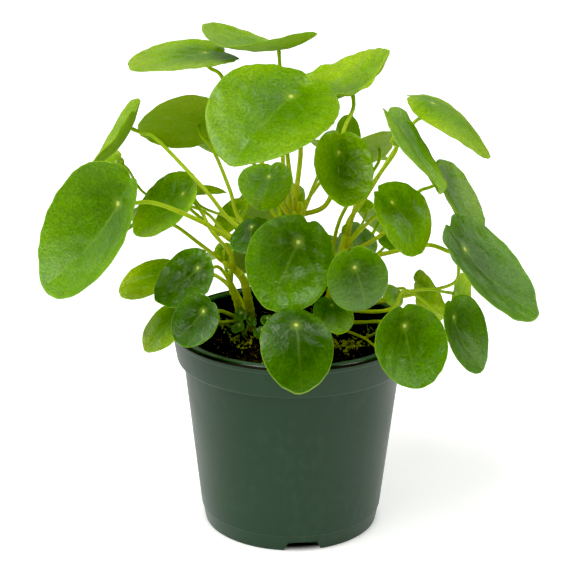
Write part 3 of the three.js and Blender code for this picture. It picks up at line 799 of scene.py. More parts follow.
@dataclass(frozen=True)
class PeatFinish:
    """Damp potting peat: nearly black crumbs and fibres, greened in patches.

    The water in it darkens it and its rough grain keeps it dull. Its fibres are a tenth of
    a millimetre thick, and are drawn thicker so that they show.
    """

    dark: str = "#18130d"
    light: str = "#463a22"
    moss: str = "#6c7a20"
    moss_share: float = 0.5
    crumb_mm: float = 2.4
    fibre_mm: float = 0.7
    fibre_depth: float = 0.5
    patch_mm: float = 11.0

    def material(self) -> Material:
        """Builds the peat's material.

        Returns:
            The material.
        """
        material, tree = new_material("peat_damp_crumbled")
        where = add(tree, "ShaderNodeTexCoord").outputs["Object"]
        crumbs = add(
            tree, "ShaderNodeTexVoronoi", values={"Scale": per_size(self.crumb_mm)}, links={"Vector": where}
        )
        fibres, patches = (
            add(tree, "ShaderNodeTexNoise",
                values={"Scale": per_size(size), "Detail": detail, "Distortion": bent},
                links={"Vector": where}).outputs["Fac"]
            for size, detail, bent in ((self.fibre_mm, 3.0, 1.5), (self.patch_mm, 4.0, 0.0))
        )
        dust_and_sheen = add(
            tree, "ShaderNodeMapRange", values={"From Min": 0.45, "From Max": 0.75}, links={"Value": fibres}
        )
        peat = add(
            tree, "ShaderNodeMix", COLOURS, {"A": paint(self.dark), "B": paint(self.light)},
            {"Factor": dust_and_sheen.outputs[0]},
        )
        grown = add(
            tree, "ShaderNodeMapRange", SMOOTH,
            {"From Min": 0.56, "From Max": 0.72, "To Min": 0.0, "To Max": self.moss_share},
            {"Value": patches},
        )
        specks = add(tree, "ShaderNodeMath", TIMES, links={0: grown.outputs[0], 1: dust_and_sheen.outputs[0]})
        colour = add(
            tree, "ShaderNodeMix", COLOURS, {"B": paint(self.moss)},
            {"Factor": specks.outputs[0], "A": peat.outputs["Result"]},
        )
        height = add(
            tree, "ShaderNodeMath", TIMES_PLUS, {1: self.fibre_depth},
            {0: fibres, 2: crumbs.outputs["Distance"]},
        )
        bump = add(
            tree, "ShaderNodeBump", values={"Strength": 0.8, "Distance": 1.0 * MM},
            links={"Height": height.outputs[0]},
        )
        shader = add(
            tree, "ShaderNodeBsdfPrincipled", values={"Roughness": 0.85, "Specular IOR Level": 0.25},
            links={"Base Color": colour.outputs["Result"], "Normal": bump.outputs[0]},
        )
        finish_tree(tree, shader)
        return material


@dataclass(frozen=True)
class MossFinish:
    """Young moss and dry fibres on peat, from olive to straw yellow.

    Light sinks in between its leaves, so it stays matt and looks soft.
    """

    name: str = "moss_soft"
    root: str = "#5c5f1a"
    tip: str = "#bfc048"
    tuft_mm: float = 3.0

    def material(self) -> Material:
        """Builds the moss's material.

        Returns:
            The material.
        """
        material, tree = new_material(self.name)
        where = add(tree, "ShaderNodeTexCoord").outputs["Object"]
        clouds = add(
            tree, "ShaderNodeTexNoise", values={"Scale": per_size(self.tuft_mm), "Detail": 3.0},
            links={"Vector": where},
        ).outputs["Fac"]
        spread = add(
            tree, "ShaderNodeMapRange", values={"From Min": 0.35, "From Max": 0.65}, links={"Value": clouds}
        )
        colour = add(
            tree, "ShaderNodeMix", COLOURS, {"A": paint(self.root), "B": paint(self.tip)},
            {"Factor": spread.outputs[0]},
        )
        bump = add(
            tree, "ShaderNodeBump", values={"Strength": 0.6, "Distance": 0.4 * MM}, links={"Height": clouds}
        )
        shader = add(
            tree, "ShaderNodeBsdfPrincipled", values={"Roughness": 0.8, "Specular IOR Level": 0.3},
            links={"Base Color": colour.outputs["Result"], "Normal": bump.outputs[0]},
        )
        finish_tree(tree, shader)
        return material


@dataclass(frozen=True)
class TableFinish:
    """Opal acrylic of a shooting table: matt, with a painted glow that keeps shadows pale.

    The glow is taken away under the pot, a painted shade where the table stays dark. Its tooth,
    which takes the last gloss off, is finer than a pixel and is drawn coarser.
    """

    white: str = "#e6e6e4"
    glow: float = 0.55
    painted_shade_r_mm: Pair = (48.0, 60.0)
    tooth_mm: float = 0.8

    def material(self) -> Material:
        """Builds the table's material.

        Returns:
            The material.
        """
        material, tree = new_material("opal_acrylic_lit")
        where = add(tree, "ShaderNodeTexCoord").outputs["Object"]
        tooth = add(
            tree, "ShaderNodeTexNoise", values={"Scale": per_size(self.tooth_mm)}, links={"Vector": where}
        )
        bump = add(
            tree, "ShaderNodeBump", values={"Strength": 0.05, "Distance": 0.05 * MM},
            links={"Height": tooth.outputs["Fac"]},
        )
        out = add(tree, "ShaderNodeVectorMath", {"operation": "LENGTH"}, links={0: where})
        # Painted glow, taken away under the pot as a painted shade
        dark_r, lit_r = self.painted_shade_r_mm
        glow = add(
            tree, "ShaderNodeMapRange", SMOOTH,
            {"From Min": dark_r * MM, "From Max": lit_r * MM, "To Min": 0.0, "To Max": self.glow},
            {"Value": out.outputs["Value"]},
        )
        shader = add(
            tree, "ShaderNodeBsdfPrincipled",
            values={
                "Base Color": paint(self.white),
                "Roughness": 0.9,
                "Specular IOR Level": 0.1,
                "Emission Color": paint("#ffffff"),
            },
            links={"Normal": bump.outputs[0], "Emission Strength": glow.outputs[0]},
        )
        finish_tree(tree, shader)
        return material


# ----------------------------------------------------------------------------------------------
# Soil
# ----------------------------------------------------------------------------------------------

# An icosahedron, the plain form under every crumb
GOLDEN = (1 + 5**0.5) / 2
CRUMB_CORNERS = np.array([
    (-1, GOLDEN, 0), (1, GOLDEN, 0), (-1, -GOLDEN, 0), (1, -GOLDEN, 0), (0, -1, GOLDEN), (0, 1, GOLDEN),
    (0, -1, -GOLDEN), (0, 1, -GOLDEN), (GOLDEN, 0, -1), (GOLDEN, 0, 1), (-GOLDEN, 0, -1), (-GOLDEN, 0, 1),
]) / math.hypot(1, GOLDEN)
CRUMB_FACES: Faces = [
    (0, 11, 5), (0, 5, 1), (0, 1, 7), (0, 7, 10), (0, 10, 11), (1, 5, 9), (5, 11, 4), (11, 10, 2),
    (10, 7, 6), (7, 1, 8), (3, 9, 4), (3, 4, 2), (3, 2, 6), (3, 6, 8), (3, 8, 9), (4, 9, 5), (2, 4, 11),
    (6, 2, 10), (8, 6, 7), (9, 8, 1),
]


@dataclass
class Soil:
    """Potting peat that fills the pot, with its crumbs, fibres and moss.

    The top has the height of the frame's soil, and finer lumps on it. Each moss spot is a
    place, a width and a count of tufts.
    """

    top_z: float = 118.5
    bump: float = 1.1
    mound: float = 1.6
    mound_spread: float = 1800.0
    edge_r: float = 70.1
    side: tuple[Pair, ...] = ((70.0, 112.5), (66.0, 105.5), (60.5, 40.0))
    rings: int = 62
    around: int = 216
    lump_mm: tuple[float, ...] = (17.0, 9.0, 5.2, 3.3)
    lump_waves: int = 4
    lump_spread: Pair = (0.8, 1.25)
    lump_share: float = 0.055
    lump_least: float = 0.2
    lump_fade_mm: float = 4.0
    crumb_count: int = 1500
    crumb_r: Pair = (0.45, 2.0)
    crumb_squash: Pair = (0.5, 0.9)
    crumb_lift: float = 0.15
    uneven: Pair = (0.72, 1.28)
    slender: Pair = (0.55, 1.0)
    tilt: float = 0.6
    sharp_angle: float = 50.0
    moss_spots: tuple[tuple[float, float, float, int], ...] = (
        (36.0, -10.0, 9.0, 170), (24.0, -6.0, 6.0, 80), (-32.0, -4.0, 9.0, 150),
        (-41.0, 24.0, 10.0, 120), (-15.0, 10.0, 9.0, 150), (10.0, -20.0, 8.0, 70),
        (54.0, 14.0, 9.0, 60), (5.0, 40.0, 20.0, 120), (-10.0, -45.0, 14.0, 60),
    )
    moss_loose: int = 160
    moss_r: Pair = (0.4, 1.3)
    moss_squash: Pair = (0.5, 1.5)
    moss_lift: Pair = (0.0, 0.9)
    loose_lift: float = 0.3
    tuft_margin_mm: float = 1.5
    margin_mm: float = 2.0
    fibre_count: int = 150
    fibre_margin_mm: float = 8.0
    fibre_points: int = 6
    fibre_step: Pair = (0.8, 2.0)
    fibre_bend: float = 0.5
    fibre_lift: Pair = (0.25, 0.5)
    fibre_r: Pair = (0.14, 0.32)
    fibre_taper: float = 0.6
    fibre_sides: int = 5
    seed: int = 41
    waves: list[tuple[float, float, float, float]] = field(default_factory=list)

    def __post_init__(self) -> None:
        """Draws the directions of the finer lumps."""
        draw = random.Random(self.seed)
        for size in self.lump_mm:
            for _ in range(self.lump_waves):
                turn, phase = draw.uniform(0, math.pi), draw.uniform(0, FULL_TURN)
                pitch = FULL_TURN / (size * draw.uniform(*self.lump_spread))
                height = self.lump_share * size / 2
                self.waves.append((pitch * math.cos(turn), pitch * math.sin(turn), phase, height))

    def plain(self, x: np.ndarray | float, y: np.ndarray | float) -> np.ndarray | float:
        """Gives the height of the frame's soil at a place, by the frame's own formula."""
        bumps = np.sin(0.21 * x + 1) * np.cos(0.17 * y) + 0.6 * np.sin(0.43 * x - 0.31 * y + 2)
        return self.top_z + self.bump * bumps + self.mound * np.exp(-(x * x + y * y) / self.mound_spread)

    def height(self, x: np.ndarray | float, y: np.ndarray | float) -> np.ndarray | float:
        """Gives the height with the finer lumps, which fade at the pot's wall.

        Args:
            x: Place to the right.
            y: Place to the back.

        Returns:
            Height over the table.
        """
        lumps = sum(a * np.sin(p * x + q * y + s) for p, q, s, a in self.waves)
        from_wall = self.edge_r - np.sqrt(x * x + y * y)
        calm = np.clip(from_wall / self.lump_fade_mm, self.lump_least, 1)
        return self.plain(x, y) + calm * lumps

    def on_top(self, x: float, y: float, lift: float) -> Point:
        """Gives the point this far above the soil at a place."""
        return (x, y, float(self.height(x, y)) + lift)

    def anywhere(self, draw: random.Random, margin: float) -> Pair:
        """Draws a place on the top, evenly over all but a margin at the wall."""
        r, turn = (self.edge_r - margin) * math.sqrt(draw.random()), draw.uniform(0, FULL_TURN)
        return (r * math.cos(turn), r * math.sin(turn))

    def bed(self, material: Material) -> Piece:
        """Makes the body of the soil in place of the frame's.

        Args:
            material: Finish of the peat.

        Returns:
            The bed.
        """
        rings = []
        for i in range(1, self.rings + 1):
            ring = ring_at(self.edge_r * i / self.rings, 0.0, self.around)
            ring[:, 2] = self.height(ring[:, 0], ring[:, 1])
            rings.append(ring)
        rings += [ring_at(r, z, self.around) for r, z in self.side]
        body = closed((0.0, 0.0, self.height(0.0, 0.0)), rings, (0.0, 0.0, self.side[-1][1]))
        piece = make_piece("soil_bed", body, material)
        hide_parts("soil")
        return piece

    def strewn(
        self, name: str, places: list[Point], radii: Pair, squash: Pair, draw: random.Random,
        material: Material,
    ) -> Piece:
        """Makes one piece of many small lumpy bodies, each half sunk in the soil.

        Args:
            name: Name of the piece.
            places: Middle of each, in millimetres.
            radii: Smallest and largest radius.
            squash: Flattest and tallest height against the radius.
            draw: Source of the chances.
            material: Finish of them all.

        Returns:
            The piece.
        """
        bodies = []
        for place in places:
            # More of them are small than large
            radius = draw.uniform(*radii) ** 1.5 / radii[1] ** 0.5
            uneven = np.array([draw.uniform(*self.uneven) for _ in CRUMB_CORNERS])[:, None]
            turned = Matrix.Rotation(draw.uniform(0, FULL_TURN), 3, "Z")
            turned = np.array(turned @ Matrix.Rotation(draw.uniform(-self.tilt, self.tilt), 3, "X"))
            scale = np.array([1.0, draw.uniform(*self.slender), draw.uniform(*squash)])
            corners = (CRUMB_CORNERS * uneven * scale * radius) @ turned.T + np.array(place)
            bodies.append((corners, CRUMB_FACES, {}))
        piece = make_piece(name, merge(bodies), material, self.sharp_angle)
        return piece

    def crumbs(self, material: Material) -> Piece:
        """Scatters crumbs of peat over the top.

        Args:
            material: Finish of the peat.

        Returns:
            The crumbs as one piece.
        """
        draw = random.Random(self.seed + 1)
        spots = [self.anywhere(draw, self.margin_mm) for _ in range(self.crumb_count)]
        places = [self.on_top(x, y, self.crumb_lift) for x, y in spots]
        return self.strewn("soil_crumbs", places, self.crumb_r, self.crumb_squash, draw, material)

    def moss(self, material: Material) -> Piece:
        """Sets tufts of moss and small green specks on the soil.

        Args:
            material: Finish of the moss.

        Returns:
            The moss as one piece.
        """
        draw = random.Random(self.seed + 2)
        places = []
        for x, y, spread, count in self.moss_spots:
            for _ in range(count):
                px, py = draw.gauss(x, spread / 2), draw.gauss(y, spread / 2)
                if math.hypot(px, py) < self.edge_r - self.tuft_margin_mm:
                    places.append(self.on_top(px, py, draw.uniform(*self.moss_lift)))
        for _ in range(self.moss_loose):
            places.append(self.on_top(*self.anywhere(draw, self.margin_mm), self.loose_lift))
        return self.strewn("soil_moss", places, self.moss_r, self.moss_squash, draw, material)

    def fibres(self, material: Material) -> Piece:
        """Lays short root and bark fibres on the soil.

        Args:
            material: Finish of the fibres.

        Returns:
            The fibres as one piece.
        """
        draw = random.Random(self.seed + 3)
        count = self.fibre_points
        low, arch = self.fibre_lift
        bodies = []
        for _ in range(self.fibre_count):
            (x, y), heading = self.anywhere(draw, self.fibre_margin_mm), draw.uniform(0, FULL_TURN)
            bend, step = draw.uniform(-self.fibre_bend, self.fibre_bend), draw.uniform(*self.fibre_step)
            path = []
            for i in range(count):
                lift = low + arch * math.sin(math.pi * i / (count - 1)) * draw.random()
                path.append(self.on_top(x, y, lift))
                x, y, heading = x + step * math.cos(heading), y + step * math.sin(heading), heading + bend
            thick = draw.uniform(*self.fibre_r)
            radii = np.linspace(thick, thick * self.fibre_taper, count)
            bodies.append(tube(np.array(path), radii, self.fibre_sides))
        piece = make_piece("soil_fibres", merge(bodies), material)
        return piece


# ----------------------------------------------------------------------------------------------
# Pot
# ----------------------------------------------------------------------------------------------


@dataclass
class Pot:
    """Tapered nursery pot with a collar, a lip band and three foot notches.

    Each profile row is a radius, a height and the radius of the fillet at that corner.
    """

    underside: tuple[Point, ...] = (
        (14.0, 0.0, 0.5), (15.0, 2.6, 0.5), (49.0, 2.6, 0.8), (50.0, 0.0, 0.4),
    )
    outside: tuple[Point, ...] = (
        (55.0, 0.0, 0.6), (56.9, 10.2, 0.25), (57.4, 10.7, 0.25), (68.3, 108.2, 0.5), (72.1, 108.7, 3.4),
        (74.9, 125.2, 0.3), (75.4, 125.6, 0.25), (76.1, 128.7, 0.5), (75.4, 129.7, 0.3), (75.0, 130.0, 0.3),
    )
    inside: tuple[Point, ...] = (
        (74.6, 130.0, 0.25), (74.1, 129.5, 0.2), (69.8, 129.5, 0.3), (69.4, 128.3, 0.2), (70.3, 125.0, 0.5),
        (70.3, 112.2, 1.5), (66.8, 107.0, 1.5), (55.9, 6.4, 1.6), (53.9, 4.4, 1.0),
    )
    around: int = 180
    arc_steps: int = 4
    arc_share: float = 0.45
    sharp_angle: float = 38.0
    notch_azimuths: tuple[float, ...] = (-82.0, 38.0, 158.0)
    notch_low: Pair = (12.5, -2.0)
    notch_top: Pair = (9.0, 6.0)
    notch_reach: Pair = (49.0, 61.0)

    def rounded(self) -> list[Pair]:
        """Fillets every corner of the profile.

        Returns:
            Radius and height of each point, from the middle of the underside to the
            middle of the floor inside.
        """
        floor_z = self.inside[-1][1]
        corners = [(0.0, 0.0, 0.0), *self.underside, *self.outside, *self.inside, (0.0, floor_z, 0.0)]
        line = []
        for i, (r, z, fillet) in enumerate(corners):
            here = np.array([r, z])
            if fillet == 0.0:
                line.append((r, z))
                continue
            before = np.array(corners[i - 1][:2]) - here
            after = np.array(corners[i + 1][:2]) - here
            cut = min(fillet, *(self.arc_share * np.linalg.norm(side) for side in (before, after)))
            start, end = here + unit(before) * cut, here + unit(after) * cut
            for t in np.linspace(0, 1, self.arc_steps):
                bent = (1 - t) ** 2 * start + 2 * t * (1 - t) * here + t * t * end
                line.append((float(bent[0]), float(bent[1])))
        return line

    def turned(self) -> Body:
        """Turns the profile round the pot's axis."""
        (_, floor_z), *line, (_, foot_z) = reversed(self.rounded())
        return closed((0.0, 0.0, floor_z), [ring_at(r, z, self.around) for r, z in line], (0.0, 0.0, foot_z))

    def notch_cutter(self, azimuth: float) -> Piece:
        """Makes the prism that a foot notch is cut with.

        Args:
            azimuth: Where the notch lies, in degrees.

        Returns:
            The prism.
        """
        (low, low_z), (top, top_z) = self.notch_low, self.notch_top
        section = ((-low, low_z), (low, low_z), (top, top_z), (-top, top_z))
        turned = Matrix.Rotation(math.radians(azimuth), 3, "Z")
        corners = [tuple(turned @ Vector((r, s, z)) * MM) for r in self.notch_reach for s, z in section]
        sides = [(0, 3, 2, 1), (4, 5, 6, 7), (0, 1, 5, 4), (1, 2, 6, 5), (2, 3, 7, 6), (3, 0, 4, 7)]
        mesh = bpy.data.meshes.new("notch_cutter")
        mesh.from_pydata(corners, [], sides)
        cutter = bpy.data.objects.new("notch_cutter", mesh)
        bpy.context.scene.collection.objects.link(cutter)
        return cutter

    def build(self, material: Material) -> Piece:
        """Makes the pot in place of the frame's.

        Args:
            material: Finish of the moulded plastic.

        Returns:
            The pot with its notches cut and its edges kept crisp.
        """
        piece = make_piece("pot_moulded", self.turned(), material)
        cutters = [self.notch_cutter(azimuth) for azimuth in self.notch_azimuths]
        for cutter in cutters:
            cut = piece.modifiers.new("notch", "BOOLEAN")
            cut.operation, cut.solver, cut.object = "DIFFERENCE", "EXACT", cutter
        seen = piece.evaluated_get(bpy.context.evaluated_depsgraph_get())
        mesh = bpy.data.meshes.new_from_object(seen)
        piece.modifiers.clear()
        plain, piece.data = piece.data, mesh
        bpy.data.meshes.remove(plain)
        for cutter in cutters:
            bpy.data.meshes.remove(cutter.data)
        mesh.polygons.foreach_set("use_smooth", [True] * len(mesh.polygons))
        mesh.set_sharp_from_angle(angle=math.radians(self.sharp_angle))
        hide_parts("pot")
        return piece


# ----------------------------------------------------------------------------------------------
# Plant
# ----------------------------------------------------------------------------------------------


@dataclass(frozen=True)
class BladeForm:
    """What the blades of all leaves have in common.

    The hub's place, the notch at the back and the point at the tip are shares of the
    length, with their widths in radians. The crease is a share of the mean radius. Each row
    of detail is a least length, with the points round the blade and the rings on one side.
    """

    hub_share: float = 0.27
    notch: Pair = (0.05, 0.16)
    apex: Pair = (0.02, 0.14)
    crease: float = 0.06
    rim_waves: int = 3
    rim_wave_share: float = 0.018
    rim_wave_turn: float = 2.4
    scallop_counts: tuple[int, ...] = (5, 9, 13, 19, 27)
    scallop_share: float = 0.0035
    quilt_waves: int = 7
    quilt_mm: Pair = (7.0, 14.0)
    quilt_growth_mm: float = 130.0
    quilt_share: float = 0.024
    quilt_least: float = 0.1
    quilt_from: float = 0.06
    quilt_ramp: float = 0.25
    vein_sweep: float = 0.3
    vein_power: float = 1.4
    vein_length_mm: float = 70.0
    half_mm: Pair = (0.2, 0.6)
    half_share: float = 0.01
    ripe_swing: float = 0.05
    ring_power: float = 0.9
    rim_ring: float = 0.985
    detail: tuple[tuple[float, int, int], ...] = ((60, 112, 24), (36, 84, 17), (15, 56, 10), (0, 36, 6))


@dataclass(frozen=True)
class StalkForm:
    """What the leaf stalks have in common, in millimetres and in shares of the thickness."""

    thin_mm: float = 0.85
    growth: float = 0.0077
    taper: Pair = (1.12, 0.3)
    foot_swell: Pair = (0.45, 3.5)
    tip_swell: Pair = (0.2, 2.2)
    lean: float = 0.9
    turn_mm: float = 9.0
    straight_mm: float = 2.8
    sunk_mm: float = 0.5
    sunk_share: float = 0.7
    ripe: Pair = (0.2, 0.8)
    steps: int = 10
    sides: int = 14


BLADE = BladeForm()
STALK = StalkForm()


@dataclass
class Leaf:
    """One coin-shaped blade on a stalk that meets it near the middle of its underside.

    The hub, the way the upper side faces (azimuth and elevation in degrees), the turn of
    the tip from straight down, the size and the dish, fold and curl are the frame's.
    """

    node: str
    hub: Point
    faces: Pair
    turn: float
    size: Pair
    dish: float
    fold: float
    stem: Stem
    height: float
    by: tuple[Point, ...]
    green: Green
    crinkle: float = 0.25
    curl: Pair = (0.0, 0.0)
    index: int = 0

    def axes(self) -> tuple[np.ndarray, np.ndarray, np.ndarray]:
        """Finds how the blade lies.

        Returns:
            The normal of the upper side, the way to the tip, and the way across.
        """
        azimuth, elevation = (math.radians(a) for a in self.faces)
        level = math.cos(elevation)
        normal = np.array([level * math.cos(azimuth), level * math.sin(azimuth), math.sin(elevation)])
        down = np.array([0.0, 0.0, -1.0])
        down = unit(down - normal * down.dot(normal))
        turn = math.radians(self.turn)
        tip = down * math.cos(turn) + np.cross(normal, down) * math.sin(turn)
        return normal, tip, np.cross(normal, tip)

    def reach(self, angle: np.ndarray) -> np.ndarray:
        """Draws the outline as the frame's blade has it.

        Args:
            angle: Angles from the tip.

        Returns:
            The distance from the hub to the edge at each of them.
        """
        a, b = self.size[0] / 2, self.size[1] / 2
        ahead = (0.5 - BLADE.hub_share) * self.size[0]
        u, v = np.cos(angle), np.sin(angle)
        p, q = (u / a) ** 2 + (v / b) ** 2, -2 * u * ahead / a**2
        c = (ahead / a) ** 2 - 1
        far = (-q + np.sqrt(q * q - 4 * p * c)) / (2 * p)
        from_tip = np.abs(np.arctan2(v, u))
        (deep, notch_wide), (high, apex_wide) = BLADE.notch, BLADE.apex
        notch = deep / BLADE.hub_share * np.exp(-(((math.pi - from_tip) / notch_wide) ** 2))
        return far * (1 - notch + high * np.exp(-((from_tip / apex_wide) ** 2)))

    def rise(self, x: np.ndarray, y: np.ndarray, share: float, angle: np.ndarray) -> np.ndarray:
        """Bends the blade as the frame's blade is bent.

        Args:
            x: Distance from the hub toward the tip.
            y: Distance from the midrib.
            share: Share of the way from the hub to the rim.
            angle: Angle from the tip.

        Returns:
            The height over the blade's flat.
        """
        mean = (self.size[0] + self.size[1]) / 4
        crease = BLADE.crease * mean
        saddle, twist = self.curl
        bowl = 0.5 * self.dish * (x * x + y * y) / mean
        halves = self.fold * (np.sqrt(y * y + crease * crease) - crease)
        curled = (0.5 * saddle * (x * x - y * y) + twist * x * y) / mean
        phase = BLADE.rim_wave_turn * self.index
        wave = BLADE.rim_wave_share * self.size[0] * share**3 * np.sin(BLADE.rim_waves * angle + phase)
        return bowl + halves + curled + wave

    def scallops(self, angles: np.ndarray) -> np.ndarray:
        """Draws the faint, uneven waves of the outline.

        Args:
            angles: Angles from the tip.

        Returns:
            How much farther out the edge lies at each of them, as a share of the reach.
        """
        draw = random.Random(OUTLINE_SEED + self.index)
        waves = [
            (count, draw.uniform(0, FULL_TURN), draw.uniform(0.5, 1.0)) for count in BLADE.scallop_counts
        ]
        total = sum(part * np.sin(count * angles + phase) for count, phase, part in waves)
        return BLADE.scallop_share * total

    def quilting(self) -> list[tuple[float, float, float, float]]:
        """Draws the waves whose sum quilts the blade.

        Returns:
            Two pitches, a phase and a height of each wave.
        """
        draw = random.Random(QUILT_SEED + self.index)
        waves = []
        for _ in range(BLADE.quilt_waves):
            turn, phase = draw.uniform(0, math.pi), draw.uniform(0, FULL_TURN)
            size = draw.uniform(*BLADE.quilt_mm) * (0.5 + self.size[0] / BLADE.quilt_growth_mm)
            pitch = FULL_TURN / size
            height = BLADE.quilt_share * size * (BLADE.quilt_least + self.crinkle)
            waves.append((pitch * math.cos(turn), pitch * math.sin(turn), phase, height))
        return waves

    def blade(self) -> Body:
        """Makes the closed skin of the blade with a rounded rim.

        Returns:
            Points in millimetres, faces, and the marks that the blade's finish reads.
        """
        length = self.size[0]
        count, steps = next((around, rings) for least, around, rings in BLADE.detail if length >= least)
        normal, tip, across = self.axes()
        hub = np.array(self.hub)
        angles = turns_of(count)
        from_tip = np.minimum(angles, FULL_TURN - angles)
        edge = self.reach(angles) * (1 + self.scallops(angles))
        waves = self.quilting()
        swing = random.Random(RIPE_SEED + self.index).uniform(-BLADE.ripe_swing, BLADE.ripe_swing)
        ripe = self.green.value + swing
        thinnest, thickest = BLADE.half_mm
        half = min(thickest, thinnest + BLADE.half_share * length)
        finer = (BLADE.vein_length_mm / length) ** 0.5
        shares = [*(np.arange(1, steps) / steps) ** BLADE.ring_power, BLADE.rim_ring]
        # Out over the upper side, round the rim, and in over the underside
        order = [*((share, 1) for share in shares), (1.0, 0), *((share, -1) for share in reversed(shares))]
        rings, spreads, kinds = [], [], []
        for share, side in order:
            x, y = share * edge * np.cos(angles), share * edge * np.sin(angles)
            ramped = min(1.0, max(0.0, (share - BLADE.quilt_from) / BLADE.quilt_ramp))
            quilt = ramped * sum(a * np.sin(p * x + q * y + s) for p, q, s, a in waves)
            skin = side * half * (1 - 0.5 * share**2)
            height = self.rise(x, y, share, angles) + quilt + skin
            rings.append(hub + np.outer(x, tip) + np.outer(y, across) + np.outer(height, normal))
            swept = from_tip * (1 + BLADE.vein_sweep * share**BLADE.vein_power * np.sin(from_tip))
            spreads.append(np.column_stack([swept, share * edge * finer, np.full(count, share)]))
            kinds.append(np.tile([ripe, 0.5 - 0.5 * side, self.crinkle], (count, 1)))
        points, faces, marks = closed(hub + normal * half, rings, hub - normal * half)
        middle = np.zeros((1, 3))
        marks["spread"] = np.vstack([middle, *spreads, middle])
        marks["kind"] = np.vstack([[ripe, 0.0, self.crinkle], *kinds, [ripe, 1.0, self.crinkle]])
        return points, faces, marks

    def stalk(self, foot: np.ndarray) -> Body:
        """Makes the stalk from its stem to the underside of the blade.

        Args:
            foot: The point on the stem that it grows from.

        Returns:
            Points in millimetres, faces and marks.
        """
        normal, _, _ = self.axes()
        hub = np.array(self.hub)
        thick = STALK.thin_mm + STALK.growth * self.size[0]
        lean = unit(STALK.lean * unit(np.array(self.by[-1]) - hub) - normal)
        turn, straight = hub + lean * STALK.turn_mm, hub - normal * STALK.straight_mm
        route = curve_through(np.array([foot, *self.by, turn, straight]), STALK.steps)
        path = np.vstack([route, hub - normal * (STALK.sunk_mm + STALK.sunk_share * thick)])
        spans = spans_of(path)
        share = spans / spans[-1]
        radii = thick * (STALK.taper[0] - STALK.taper[1] * share)
        swell = 1.0
        for (wider, wide), away in ((STALK.foot_swell, spans), (STALK.tip_swell, spans[-1] - spans)):
            swell = swell + wider * np.exp(-((away / wide) ** 2))
        return tube(path, radii * swell, STALK.sides, STALK.ripe[0] + STALK.ripe[1] * share)


@dataclass
class Runner:
    """Creeping shoot that leaves the right stem just above the soil."""

    path: tuple[Pair, ...] = ((21.0, 19.0), (33.0, 8.0), (44.0, 0.0), (51.0, -16.0))
    shoot: tuple[Pair, ...] = ((45.0, -1.0), (49.0, 4.0), (53.0, 9.0))
    radius: Pair = (1.2, 0.8)
    rise: float = 2.4
    ripe: Pair = (0.15, 0.2)
    steps: int = 12
    sides: int = 12

    def limbs(self, soil: Soil) -> list[Body]:
        """Makes the runner and its side shoot.

        Args:
            soil: The soil that they lie over.

        Returns:
            Points, faces and marks of both.
        """
        bodies = []
        for line in (self.path, self.shoot):
            route = np.array([(x, y, float(soil.plain(x, y)) + self.rise) for x, y in line])
            path = curve_through(route, self.steps)
            share = np.linspace(0, 1, len(path))
            radii = self.radius[0] + (self.radius[1] - self.radius[0]) * share
            bodies.append(tube(path, radii, self.sides, self.ripe[0] + self.ripe[1] * share))
        return bodies


